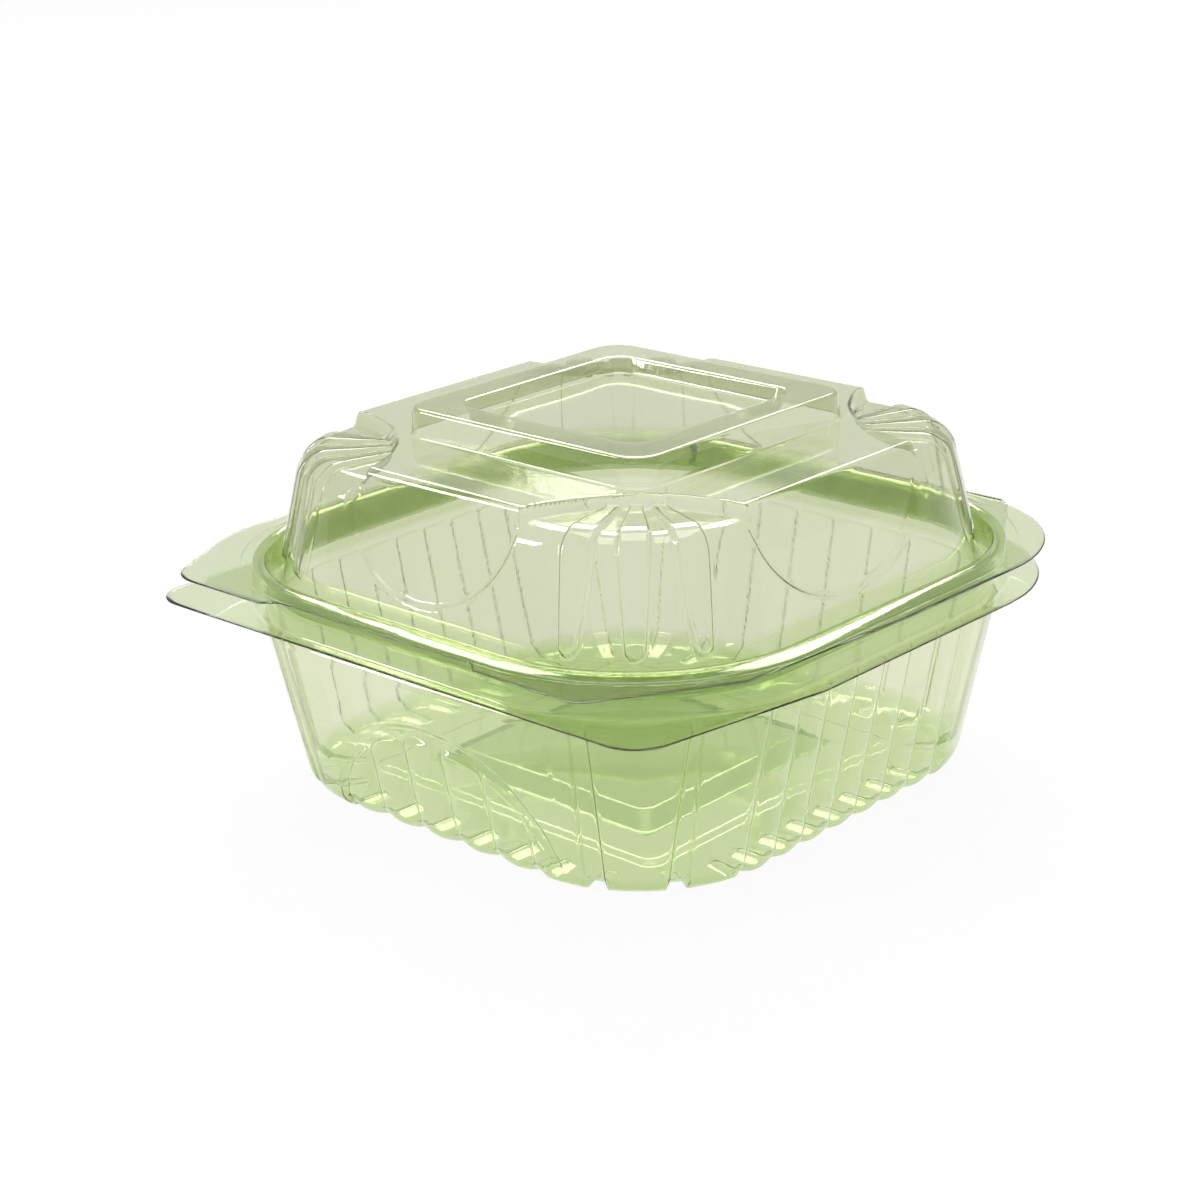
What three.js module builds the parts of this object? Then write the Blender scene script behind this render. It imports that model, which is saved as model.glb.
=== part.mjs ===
// Hinged clamshell container thermoformed from one thin transparent sheet.
// A square tub and a domed lid share one fold at the back. Millimetres, +Z up,
// the front is -Y, the fold is at +Y, and the tub rests on z = 0.

import * as THREE from "three";

// The sheet, the clearance that two separate pieces keep, and the softness of a folded edge.
const SHEET = 0.5;
const CLEARANCE = 0.3;
const EDGE_SOFT = 0.5;
const MITRE_LIMIT = 0.75;

// Tub: wall and ribs. Half widths are to the rib crests.
const CORNER_CENTRE = 28.5;
const TUB_FOOT_HALF = 62.0;
const TUB_BRIM_HALF = 70.4;
const TUB_RIB_TOP = 39.6;
const TUB_RIB_PROUD = 1.3;
const RIB_CREST_SHARE = 0.26;
const RIB_END_RISE = 1.2;
// The middle of a side's ribs is shifted along +Y, and that of the front's and back's along +X.
const SIDE_RIB_PITCH = 9.25;
const SIDE_RIB_COUNT = 7;
const SIDE_RIB_SHIFT = -2.3;
const FRONT_RIB_PITCH = 11.3;
const FRONT_RIB_COUNT = 5;
const FRONT_RIB_SHIFT = -1.2;
// Crests past a wall's last crease, in pitches. The front's carry the arch's ends.
const SIDE_END_SHARES = [RIB_CREST_SHARE];
const FRONT_END_SHARES = [RIB_CREST_SHARE, 0.55, 0.8];
// Heights of the wall's rings, as shares of the rib height.
const WALL_SHARES = [1, 0.73, 0.6, 0.45, 0.29, 0.13];
// Corners, from the front or back to a side: plain wall, recess, wide rib, recess, pad.
// Each station has its angle at the foot, its angle at the brim, and 1 where it is proud.
const TUB_CORNER_STATIONS = [
  [18.7, 20, 1], [20, 21.3, 0], [26.5, 25, 0], [27.9, 26.4, 1], [38.2, 40.3, 1], [48.6, 54.6, 1],
  [50, 56, 0], [55.7, 58, 0], [57.1, 59.4, 1], [63.5, 64.5, 1], [70, 71.5, 1],
];
const CORNER_GAP_ANGLE = 1.5;

// Tub: feet of the ribs and floor.
const FOOT_RISE = 1.6;
const FOOT_INSET = 1.2;
const FOOT_TUCK = 0.6;
const SCALLOP_INSET = 2.6;
const SCALLOP_RISE = 1.0;
const FLOOR_EDGE_HALF = 57.5;
const FLOOR_FOLD_HALF = 42.0;
const FLOOR_FOLD_WIDTH = 1.2;
const FLOOR_FOLD_RISE = 0.9;
const PANEL_FOOT_HALF = 32.0;
const PANEL_HALF = 29.0;
const PANEL_RISE = 4.1;
const SMALL_ROUND = 5.0;

// Front arch: ribs fill the wall under it and the wall is plain above it.
const ARCH_CENTRE = 2.5;
const ARCH_HALF = 33.0;
const ARCH_RISE = 28.5;
const ARCH_POWER = 2.2;
const ARCH_SOFT = 1.2;
// Heights under the arch, as shares of the way from its edge to the lowest ring.
const UNDER_ARCH_SHARES = [0, 0.2, 0.6, 1];

// Rims: height of each flange, and the tub's bead.
const TUB_FLANGE_Z = 43.3;
const LID_FLANGE_Z = 51.7;
const BEAD_OUTER_HALF = 72.5;
const BEAD_WIDTH = 1.6;
const BEAD_SLOPE_WIDTH = 1.0;
const BEAD_SLOPE_DROP = 1.8;

// Lid: brim, which covers the bead, and the plug that drops inside it.
const BRIM_OVERHANG = 2.5;
const BRIM_WIDTH = 3.8;
const BRIM_OUTER_HALF = BEAD_OUTER_HALF + BRIM_OVERHANG;
const BRIM_INNER_HALF = BRIM_OUTER_HALF - BRIM_WIDTH;
const BRIM_RISE = 1.3;
const BRIM_SOFT = 0.4;
const PLUG_TAPER = 0.5;
const TROUGH_DEPTH = 5.7;
const TROUGH_WIDTH = 2.0;

// Both flanges in plan: front and back edges, just outside the lid's brim.
const FLANGE_FRONT_REACH = 0.3;
const FLANGE_BACK_REACH = 0.8;
const FLANGE_FRONT_Y = -BRIM_OUTER_HALF - FLANGE_FRONT_REACH;
const FLANGE_BACK_Y = BRIM_OUTER_HALF + FLANGE_BACK_REACH;
const FLANGE_REAR_ROUND = 38.0;

// Tub flange in plan: straight sides, a tab at each front corner, wide rear corners.
const TUB_FLANGE_WIDTH = 3.7;
const TUB_FLANGE_HALF = BEAD_OUTER_HALF + TUB_FLANGE_WIDTH;
const TUB_RIGHT_KNEE_Y = -27.0;
const TUB_RIGHT_TAB_INSET = 7.7;
const TUB_RIGHT_TAB_ROUND = 9.0;
const TUB_LEFT_KNEE_Y = -45.0;
const TUB_LEFT_TAB_REACH = 1.3;

// Lid flange in plan: its two tabs reach further forward.
const LID_FLANGE_WIDTH = 2.5;
const LID_FLANGE_HALF = BRIM_OUTER_HALF + LID_FLANGE_WIDTH;
const LID_RIGHT_KNEE_INSET = 3.0;
const LID_RIGHT_KNEE_Y = -49.0;
const LID_LEFT_KNEE_Y = -50.0;
const TAB_REACH = 3.0;
const TAB_FRONT_Y = FLANGE_FRONT_Y - TAB_REACH;
const RIGHT_TAB_START_X = 25.0;
const RIGHT_TAB_END_INSET = 21.5;
const LEFT_TAB_START_X = -32.0;
const LEFT_TAB_END_INSET = 13.3;
const TAB_STEP_WIDTH = 3.5;
const TAB_STEP_ROUND = 1.5;
const TAB_ROUND = 5.0;

// Lid: dome and the half-moon panel in each side.
const SHOULDER_Z = 78.9;
const SHOULDER_HALF = 56.9;
const SHOULDER_SOFT = 1.2;
// Half length of the straight shoulder edge on the sides and on the front and back.
const SIDE_STRAIGHT = 28.5;
const FRONT_STRAIGHT = 22.8;
const SIDE_MOON_HALF = 28.5;
const SIDE_MOON_SHIFT = -1.0;
const FRONT_MOON_HALF = 25.2;
const FRONT_MOON_SHIFT = -2.0;
const MOON_DROP = 24.2;
const MOON_DEPTH = 1.3;
const MOON_STEP = 1.6;
const DOME_RING_HEIGHTS = [57, 61, 66, 71, 74];

// Lid: corner scoops, each with three ribs that fan out from a hub. The fan is
// turned from the corner's middle toward the front or the back.
const SCOOP_RADIUS = 36.8;
const SCOOP_DROP = 2.8;
const TERRACE_SOFT = 2.2;
const LID_FAN_TURN = 5.0;
const LID_CORNER_SPREAD = 35.0;
const LID_RIB_PROUD = 1.4;
const LID_RIB_BOTTOM = 52.6;
const LID_RIB_END_RISE = 1.8;
const LID_RIB_SPREAD = 21.7;
const LID_RIB_ANGLE_LOW = 3.1;
const LID_RIB_ANGLE_HIGH = 6.9;
const HUB_RIB_PITCH = 3.9;
const HUB_RIB_HALF = 1.5;
const HUB_RIB_RISE = 0.4;

// Lid: raised square ring on top.
const BLOCK_FOOT_HALF = 35.4;
const BLOCK_TOP_HALF = 34.9;
const BLOCK_RISE = 6.8;
const BLOCK_ROUND = 6.0;
const RECESS_HALF = 26.4;
const RECESS_TAPER = 0.8;
const RECESS_DEPTH = 3.7;

// Fold: two leaves meet on the fold line behind the flanges.
const FOLD_LENGTH = 96.0;
const FOLD_BULGE = 2.5;
const FOLD_REACH = FLANGE_BACK_Y + FOLD_BULGE;
const FOLD_LINE_GAP = 0.45;

const SIDES = [0, 1, 2, 3];
const FRONT = 3;
const lerp = (a, b, t) => a + (b - a) * t;
const radians = THREE.MathUtils.degToRad;

/** Turns a point of the +X side round to side 0 (+X), 1 (+Y), 2 (-X) or 3 (-Y). */
function turned(side, out, along) {
  const [c, s] = [[1, 0], [0, 1], [-1, 0], [0, -1]][side];
  return new THREE.Vector2(out * c - along * s, out * s + along * c);
}

/**
 * Point of a rounded square, with its outward normal.
 * A wall station has `along`, its distance from the wall's middle, and a corner
 * station has `angle`, in degrees from the normal of the wall before the corner.
 */
function squarePoint(side, { along, angle }, half, centre, push = 0) {
  const round = half - centre;
  let out = half, v = along, normal = [1, 0];
  if (angle !== undefined) {
    normal = [Math.cos(radians(angle)), Math.sin(radians(angle))];
  } else if (Math.abs(along) > centre) {
    const sine = Math.min((Math.abs(along) - centre) / round, 1);
    normal = [Math.sqrt(1 - sine * sine), Math.sign(along) * sine];
  }
  if (normal[1] !== 0) {
    out = centre + round * normal[0];
    v = Math.sign(normal[1]) * centre + round * normal[1];
  }
  return {
    point: turned(side, out + push * normal[0], v + push * normal[1]),
    normal: turned(side, ...normal),
  };
}

/** Closed plan outline from corner points, each with its own rounding radius. */
function roundedOutline(corners) {
  const outline = [];
  corners.forEach(([x, y, round], i) => {
    const here = new THREE.Vector2(x, y);
    const [before, after] = [corners.at(i - 1), corners[(i + 1) % corners.length]]
      .map(([px, py]) => new THREE.Vector2(px, py).sub(here).normalize());
    if (!round) {
      outline.push(Object.assign(here, { isCorner: true }));
      return;
    }
    const half = Math.acos(THREE.MathUtils.clamp(before.dot(after), -1, 1)) / 2;
    const bisector = before.clone().add(after).normalize();
    const middle = here.clone().addScaledVector(bisector, round / Math.sin(half));
    const start = here.clone().addScaledVector(before, round / Math.tan(half)).sub(middle);
    const end = here.clone().addScaledVector(after, round / Math.tan(half)).sub(middle);
    const sweep = Math.atan2(start.x * end.y - start.y * end.x, start.dot(end));
    for (let k = 0; k <= 10; k += 1) {
      const point = start.clone().rotateAround(new THREE.Vector2(), (sweep * k) / 10).add(middle);
      outline.push(Object.assign(point, { isCorner: k === 5 }));
    }
  });
  return outline;
}

/** First point where the ray from `point` along `normal` leaves the outline. */
function outlineHit(outline, point, normal) {
  let reach = Infinity;
  outline.forEach((a, i) => {
    const edge = outline[(i + 1) % outline.length].clone().sub(a);
    const across = normal.x * edge.y - normal.y * edge.x;
    if (Math.abs(across) < 1e-9) return;
    const to = a.clone().sub(point);
    const distance = (to.x * edge.y - to.y * edge.x) / across;
    const share = (to.x * normal.y - to.y * normal.x) / across;
    if (share >= -1e-6 && share <= 1 + 1e-6 && distance > 0) reach = Math.min(reach, distance);
  });
  return point.clone().addScaledVector(normal, reach);
}

/** Cut edge of a flange: the outline met along the bases' normals, its corners kept. */
function cutEdge(outline, bases, z) {
  const edge = bases.map(({ point, normal }) => outlineHit(outline, point, normal));
  outline.filter(({ isCorner }) => isCorner).forEach((corner) => {
    const nearest = edge.reduce((best, point, i) => (
      point.distanceTo(corner) < edge[best].distanceTo(corner) ? i : best), 0);
    edge[nearest] = corner;
  });
  return edge.map(({ x, y }) => new THREE.Vector3(x, y, z));
}

/**
 * Closed thin solid round a middle surface. `rings` run from the cut edge to the
 * centre, each a list of Vector3 at the same stations, and `centreZ` closes them.
 */
function sheetGeometry(rings, centreZ) {
  const count = rings[0].length;
  const middle = rings.flat();
  middle.push(new THREE.Vector3(0, 0, centreZ));
  const faces = [];
  for (let r = 0; r + 1 < rings.length; r += 1) {
    for (let i = 0; i < count; i += 1) {
      const j = (i + 1) % count;
      const [a, b] = [r * count + i, r * count + j];
      const [c, d] = [b + count, a + count];
      faces.push([a, b, c], [a, c, d]);
    }
  }
  const last = (rings.length - 1) * count;
  for (let i = 0; i < count; i += 1) {
    faces.push([last + i, last + ((i + 1) % count), middle.length - 1]);
  }

  const normals = middle.map(() => new THREE.Vector3());
  const faceNormals = faces.map(([a, b, c]) => {
    const normal = middle[b].clone().sub(middle[a]).cross(middle[c].clone().sub(middle[a]));
    const size = normal.length();
    normal.normalize();
    [[a, b, c], [b, c, a], [c, a, b]].forEach(([k, p, q]) => {
      const angle = middle[p].clone().sub(middle[k]).angleTo(middle[q].clone().sub(middle[k]));
      normals[k].addScaledVector(normal, size > 1e-9 ? angle : 0);
    });
    return normal;
  });
  normals.forEach((normal) => normal.normalize());

  // Offsets reach both faces of a fold, and level faces stay level.
  const offsets = normals.map((normal) => normal.clone().multiplyScalar(SHEET / 2));
  const tightest = middle.map(() => 1);
  const level = middle.map(() => false);
  faces.forEach((face, f) => face.forEach((k) => {
    const agreement = Math.max(normals[k].dot(faceNormals[f]), MITRE_LIMIT);
    tightest[k] = Math.min(tightest[k], agreement);
    level[k] = level[k] || faceNormals[f].z > 0.99999;
  }));
  offsets.forEach((offset, k) => {
    offset.divideScalar(tightest[k]);
    if (level[k]) offset.z = SHEET / 2;
  });

  const positions = [1, -1].flatMap((way) => middle.flatMap((point, k) => (
    point.clone().addScaledVector(offsets[k], way).toArray())));
  const under = middle.length;
  const index = faces.flatMap(([a, b, c]) => [a, b, c, under + a, under + c, under + b]);
  for (let i = 0; i < count; i += 1) {
    const j = (i + 1) % count;
    index.push(i, under + i, under + j, i, under + j, j);
  }
  const indexed = new THREE.BufferGeometry();
  indexed.setAttribute("position", new THREE.Float32BufferAttribute(positions, 3));
  indexed.setIndex(index);
  const geometry = indexed.toNonIndexed();
  geometry.computeVertexNormals();
  return geometry;
}

const isFrontOrBack = (side) => side % 2 === 1;

/** A shift along +X or +Y as a distance along a side: the back and the left run the other way. */
const alongSide = (side, shift) => (side === 1 || side === 2 ? -shift : shift);

/** Creases (lift 0) and crests (lift 1) of the tub's wall on a side. */
function wallStations(side) {
  const [pitch, count, shift, ends] = isFrontOrBack(side)
    ? [FRONT_RIB_PITCH, FRONT_RIB_COUNT, FRONT_RIB_SHIFT, FRONT_END_SHARES]
    : [SIDE_RIB_PITCH, SIDE_RIB_COUNT, SIDE_RIB_SHIFT, SIDE_END_SHARES];
  const spots = ends.toReversed().map((share) => [-share, 1]);
  for (let i = 0; i < count; i += 1) {
    spots.push([i, 0], [i + RIB_CREST_SHARE, 1], [i + 1 - RIB_CREST_SHARE, 1]);
  }
  spots.push([count, 0], ...ends.map((share) => [count + share, 1]));
  const wall = spots.map(([at, lift]) => (
    { side, along: alongSide(side, shift) + (at - count / 2) * pitch, lift }));
  // Ribs that would run into the corner's stations are drawn together.
  const first = isFrontOrBack(side)
    ? TUB_CORNER_STATIONS[0][0] : 90 - TUB_CORNER_STATIONS.at(-1)[1];
  const room = CORNER_CENTRE
    + (TUB_FOOT_HALF - CORNER_CENTRE) * Math.sin(radians(first - CORNER_GAP_ANGLE));
  const fit = Math.min(1, room / Math.max(-wall[0].along, wall.at(-1).along));
  return wall.map((station) => ({ ...station, along: station.along * fit }));
}

/** Stations round the tub, counter-clockwise. */
function tubStations() {
  return SIDES.flatMap((side) => {
    const corner = isFrontOrBack(side) ? TUB_CORNER_STATIONS
      : TUB_CORNER_STATIONS.map(([low, high, lift]) => [90 - low, 90 - high, lift]).toReversed();
    return [...wallStations(side), ...corner.map(([low, high, lift]) => ({ side, low, high, lift }))];
  });
}

/** Middle surface of the tub, from the flange's cut edge to the floor panel. */
function tubRings() {
  const stations = tubStations();
  const isWall = ({ along }) => along !== undefined;
  const spot = (station, half, t) => {
    if (!isWall(station)) return { angle: lerp(station.low, station.high, t) };
    // Past the corner's centre a crease keeps the angle that it has at the foot.
    const past = Math.abs(station.along) - CORNER_CENTRE;
    if (half >= TUB_FOOT_HALF || past <= 0) return station;
    const share = (half - CORNER_CENTRE) / (TUB_FOOT_HALF - CORNER_CENTRE);
    return { along: Math.sign(station.along) * (CORNER_CENTRE + past * share) };
  };
  const at = (station, half, z, { t = 1, push = 0 } = {}) => {
    const { point } = squarePoint(station.side, spot(station, half, t), half, CORNER_CENTRE, push);
    return new THREE.Vector3(point.x, point.y, z);
  };
  const ring = (half, z, options) => stations.map((station) => at(station, half, z, options));

  const wallHalf = (z) => (
    lerp(TUB_FOOT_HALF, TUB_BRIM_HALF, z / TUB_RIB_TOP) - TUB_RIB_PROUD);
  // On the front the rings follow the arch, and run on low beside it.
  const lowest = WALL_SHARES.at(-1) * TUB_RIB_TOP;
  const archLow = 1.5 * lowest;
  const onFront = (station) => station.side === FRONT && isWall(station);
  const archAt = ({ along }) => {
    const share = Math.min(Math.abs(along - ARCH_CENTRE) / ARCH_HALF, 1);
    return Math.max(ARCH_RISE * Math.sqrt(1 - share ** ARCH_POWER), archLow);
  };
  const underArch = (station) => onFront(station) && archAt(station) > archLow;
  const wall = (share, k) => stations.map((station) => {
    let z = share * TUB_RIB_TOP;
    let lift = station.lift;
    if (onFront(station)) {
      const arch = archAt(station);
      if (k === 1) z = arch + ARCH_SOFT / 2;
      if (k > 1) z = lerp(arch - ARCH_SOFT / 2, lowest, UNDER_ARCH_SHARES[k - 2]);
      if (k < 2 || !underArch(station)) lift = 1;
      else if (k === 2) lift = 0;
    }
    return at(station, wallHalf(z), z, { t: z / TUB_RIB_TOP, push: lift * TUB_RIB_PROUD });
  });

  const floorZ = SHEET / 2;
  const foot = stations.map((station) => {
    const lift = onFront(station) && !underArch(station) ? 1 : station.lift;
    return at(station, TUB_FOOT_HALF - FOOT_INSET, FOOT_RISE + (1 - lift) * SCALLOP_RISE, {
      t: 0, push: lift * TUB_RIB_PROUD - FOOT_TUCK,
    });
  });
  const scallop = stations.map((station) => at(
    station, TUB_FOOT_HALF - SCALLOP_INSET, floorZ + (1 - station.lift) * SCALLOP_RISE, {
      t: 0, push: (station.lift - 1) * TUB_RIB_PROUD,
    }));
  const floorSquare = (half, z) => stations.map((station) => {
    const { side, along } = station;
    const here = isWall(station)
      ? { along: (along * half) / TUB_FOOT_HALF } : { angle: station.low };
    const { point } = squarePoint(side, here, half, half - SMALL_ROUND);
    return new THREE.Vector3(point.x, point.y, z);
  });

  const flange = roundedOutline([
    [TUB_FLANGE_HALF, TUB_RIGHT_KNEE_Y, 0],
    [TUB_FLANGE_HALF, FLANGE_BACK_Y, FLANGE_REAR_ROUND],
    [-TUB_FLANGE_HALF, FLANGE_BACK_Y, FLANGE_REAR_ROUND],
    [-TUB_FLANGE_HALF, TUB_LEFT_KNEE_Y, 0],
    [-TUB_FLANGE_HALF - TUB_LEFT_TAB_REACH, FLANGE_FRONT_Y, TAB_ROUND],
    [TUB_FLANGE_HALF - TUB_RIGHT_TAB_INSET, FLANGE_FRONT_Y, TUB_RIGHT_TAB_ROUND],
  ]);
  const bases = stations.map((station) => (
    squarePoint(station.side, spot(station, BEAD_OUTER_HALF, 1), BEAD_OUTER_HALF, CORNER_CENTRE)));
  const beadTop = LID_FLANGE_Z + BRIM_RISE - SHEET - CLEARANCE;
  const beadInner = BEAD_OUTER_HALF - BEAD_WIDTH;
  return [
    cutEdge(flange, bases, TUB_FLANGE_Z),
    ring(BEAD_OUTER_HALF + EDGE_SOFT, TUB_FLANGE_Z),
    ring(BEAD_OUTER_HALF, TUB_FLANGE_Z + EDGE_SOFT),
    ring(BEAD_OUTER_HALF - EDGE_SOFT, beadTop - EDGE_SOFT),
    ring(BEAD_OUTER_HALF - 2 * EDGE_SOFT, beadTop),
    ring(beadInner, beadTop),
    ring(beadInner - BEAD_SLOPE_WIDTH, beadTop - BEAD_SLOPE_DROP),
    ring(wallHalf(TUB_RIB_TOP), TUB_RIB_TOP + RIB_END_RISE),
    ...WALL_SHARES.map(wall),
    foot,
    scallop,
    ring(FLOOR_EDGE_HALF, floorZ, { t: 0 }),
    floorSquare(FLOOR_FOLD_HALF + FLOOR_FOLD_WIDTH, floorZ),
    floorSquare(FLOOR_FOLD_HALF, floorZ + FLOOR_FOLD_RISE),
    floorSquare(PANEL_FOOT_HALF, floorZ + FLOOR_FOLD_RISE),
    floorSquare(PANEL_HALF, floorZ + PANEL_RISE),
  ];
}

/** Stations round the lid: half-moon columns on each side, ribs on each corner. */
function lidStations() {
  const columns = [[-1, 0], [-1, 1], [-0.5, 1], [0, 1], [0.5, 1], [1, 1], [1, 0]]
    .map(([share, inside]) => ({ share, inside, lift: 0 }));
  const spread = (turn, edge = 0) => ({
    low: turn * LID_RIB_SPREAD + edge * LID_RIB_ANGLE_LOW,
    high: turn * LID_RIB_SPREAD + edge * LID_RIB_ANGLE_HIGH,
    arc: turn * HUB_RIB_PITCH + edge * HUB_RIB_HALF,
    lift: 0,
  });
  const rib = (turn) => [-1, 0, 1].map((edge) => ({ ...spread(turn, edge), lift: 1 - Math.abs(edge) }));
  const end = (way) => ({
    low: way * LID_CORNER_SPREAD, high: way * LID_CORNER_SPREAD, arc: way * Infinity, lift: 0,
  });
  const corner = [
    end(-1), ...rib(-1), spread(-0.5), ...rib(0), spread(0.5), ...rib(1), end(1),
  ];
  return SIDES.flatMap((side) => {
    const middle = 45 + (isFrontOrBack(side) ? -LID_FAN_TURN : LID_FAN_TURN);
    const fan = corner.map((station) => (
      { ...station, low: middle + station.low, high: middle + station.high }));
    return [...columns, ...fan].map((station) => ({ side, ...station }));
  });
}

/** Middle surface of the lid, from the flange's cut edge to the recess on top. */
function lidRings() {
  const stations = lidStations();
  const isWall = ({ share }) => share !== undefined;
  const moon = (side) => (isFrontOrBack(side)
    ? { half: FRONT_MOON_HALF, middle: alongSide(side, FRONT_MOON_SHIFT) }
    : { half: SIDE_MOON_HALF, middle: alongSide(side, SIDE_MOON_SHIFT) });
  // Width of a moon at a height, as a share of its width at the shoulder.
  const moonShare = (z) => Math.sqrt(Math.max(0, 1 - ((SHOULDER_Z - z) / MOON_DROP) ** 2));
  const hasMoon = (z) => moonShare(z) * FRONT_MOON_HALF > 2 * MOON_STEP;
  const spot = (station, z) => {
    if (!isWall(station)) {
      const rise = (z - LID_RIB_BOTTOM) / (SHOULDER_Z - LID_RIB_BOTTOM);
      return { angle: lerp(station.low, station.high, THREE.MathUtils.clamp(rise, 0, 1)) };
    }
    const { half, middle } = moon(station.side);
    const width = hasMoon(z) ? moonShare(z) * half : half;
    return { along: middle + station.share * (width - station.inside * MOON_STEP) };
  };
  const at = (station, half, z, { push = 0, height = z } = {}) => {
    const { point } = squarePoint(station.side, spot(station, z), half, CORNER_CENTRE, push);
    return new THREE.Vector3(point.x, point.y, height);
  };
  const ring = (half, z) => stations.map((station) => at(station, half, z));

  const beadInnerFace = BEAD_OUTER_HALF - BEAD_WIDTH - BEAD_SLOPE_WIDTH - SHEET / 2;
  const plugHalf = beadInnerFace - CLEARANCE - SHEET / 2;
  const troughHalf = plugHalf - PLUG_TAPER - EDGE_SOFT;
  const troughZ = LID_FLANGE_Z - TROUGH_DEPTH;
  // The sunk moons reach the shoulder's edge, so the wall between them ends further out.
  const wallTopHalf = SHOULDER_HALF + MOON_DEPTH;
  const domeHalf = (z) => lerp(
    troughHalf - TROUGH_WIDTH, wallTopHalf, (z - troughZ) / (SHOULDER_Z - troughZ));
  const wall = (z) => stations.map((station) => {
    const rib = z > LID_RIB_BOTTOM ? station.lift * LID_RIB_PROUD : 0;
    const sunk = isWall(station) && hasMoon(z) ? station.inside * MOON_DEPTH : 0;
    return at(station, domeHalf(z), z, { push: rib - sunk });
  });

  // A scoop's arc joins the ends of the straight shoulder edges on both sides of the corner.
  const straight = (side) => (isFrontOrBack(side) ? FRONT_STRAIGHT : SIDE_STRAIGHT);
  const scoops = SIDES.map((side) => {
    const start = new THREE.Vector2(SHOULDER_HALF, straight(side));
    const end = new THREE.Vector2(straight(side + 1), SHOULDER_HALF);
    const chord = end.clone().sub(start);
    const outward = new THREE.Vector2(chord.y, -chord.x).normalize();
    const sweep = Math.asin(chord.length() / 2 / SCOOP_RADIUS);
    const centre = start.clone().add(end).divideScalar(2)
      .addScaledVector(outward, SCOOP_RADIUS * Math.cos(sweep));
    return { centre, sweep, middle: outward.negate() };
  });
  const shoulder = (inset, radius, cornerZ, ribRise) => stations.map((station) => {
    if (isWall(station)) {
      const along = station.share * (straight(station.side) - station.inside * MOON_STEP);
      const point = turned(station.side, SHOULDER_HALF - inset, along);
      return new THREE.Vector3(point.x, point.y, SHOULDER_Z);
    }
    const { centre, sweep, middle } = scoops[station.side];
    const turn = THREE.MathUtils.clamp(station.arc / SCOOP_RADIUS, -sweep, sweep);
    const { x, y } = middle.clone().rotateAround(new THREE.Vector2(), -turn)
      .multiplyScalar(radius).add(centre);
    const point = turned(station.side, x, y);
    return new THREE.Vector3(point.x, point.y, cornerZ + station.lift * ribRise);
  });
  const terraceZ = SHOULDER_Z - SCOOP_DROP;
  const terraceEdge = stations.map((station) => {
    const z = isWall(station) ? SHOULDER_Z - SHOULDER_SOFT : terraceZ - 0.3 * TERRACE_SOFT;
    const inset = isWall(station) ? station.inside * MOON_DEPTH : TERRACE_SOFT;
    return at(station, domeHalf(z) - inset, z, { height: z + station.lift * LID_RIB_PROUD });
  });
  const square = (half, z, round = BLOCK_ROUND) => stations.map((station) => {
    const along = station.share * (1 - 0.1 * station.inside) * (half - round);
    const here = isWall(station) ? { along } : { angle: station.low };
    const { point } = squarePoint(station.side, here, half, half - round);
    return new THREE.Vector3(point.x, point.y, z);
  });

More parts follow.
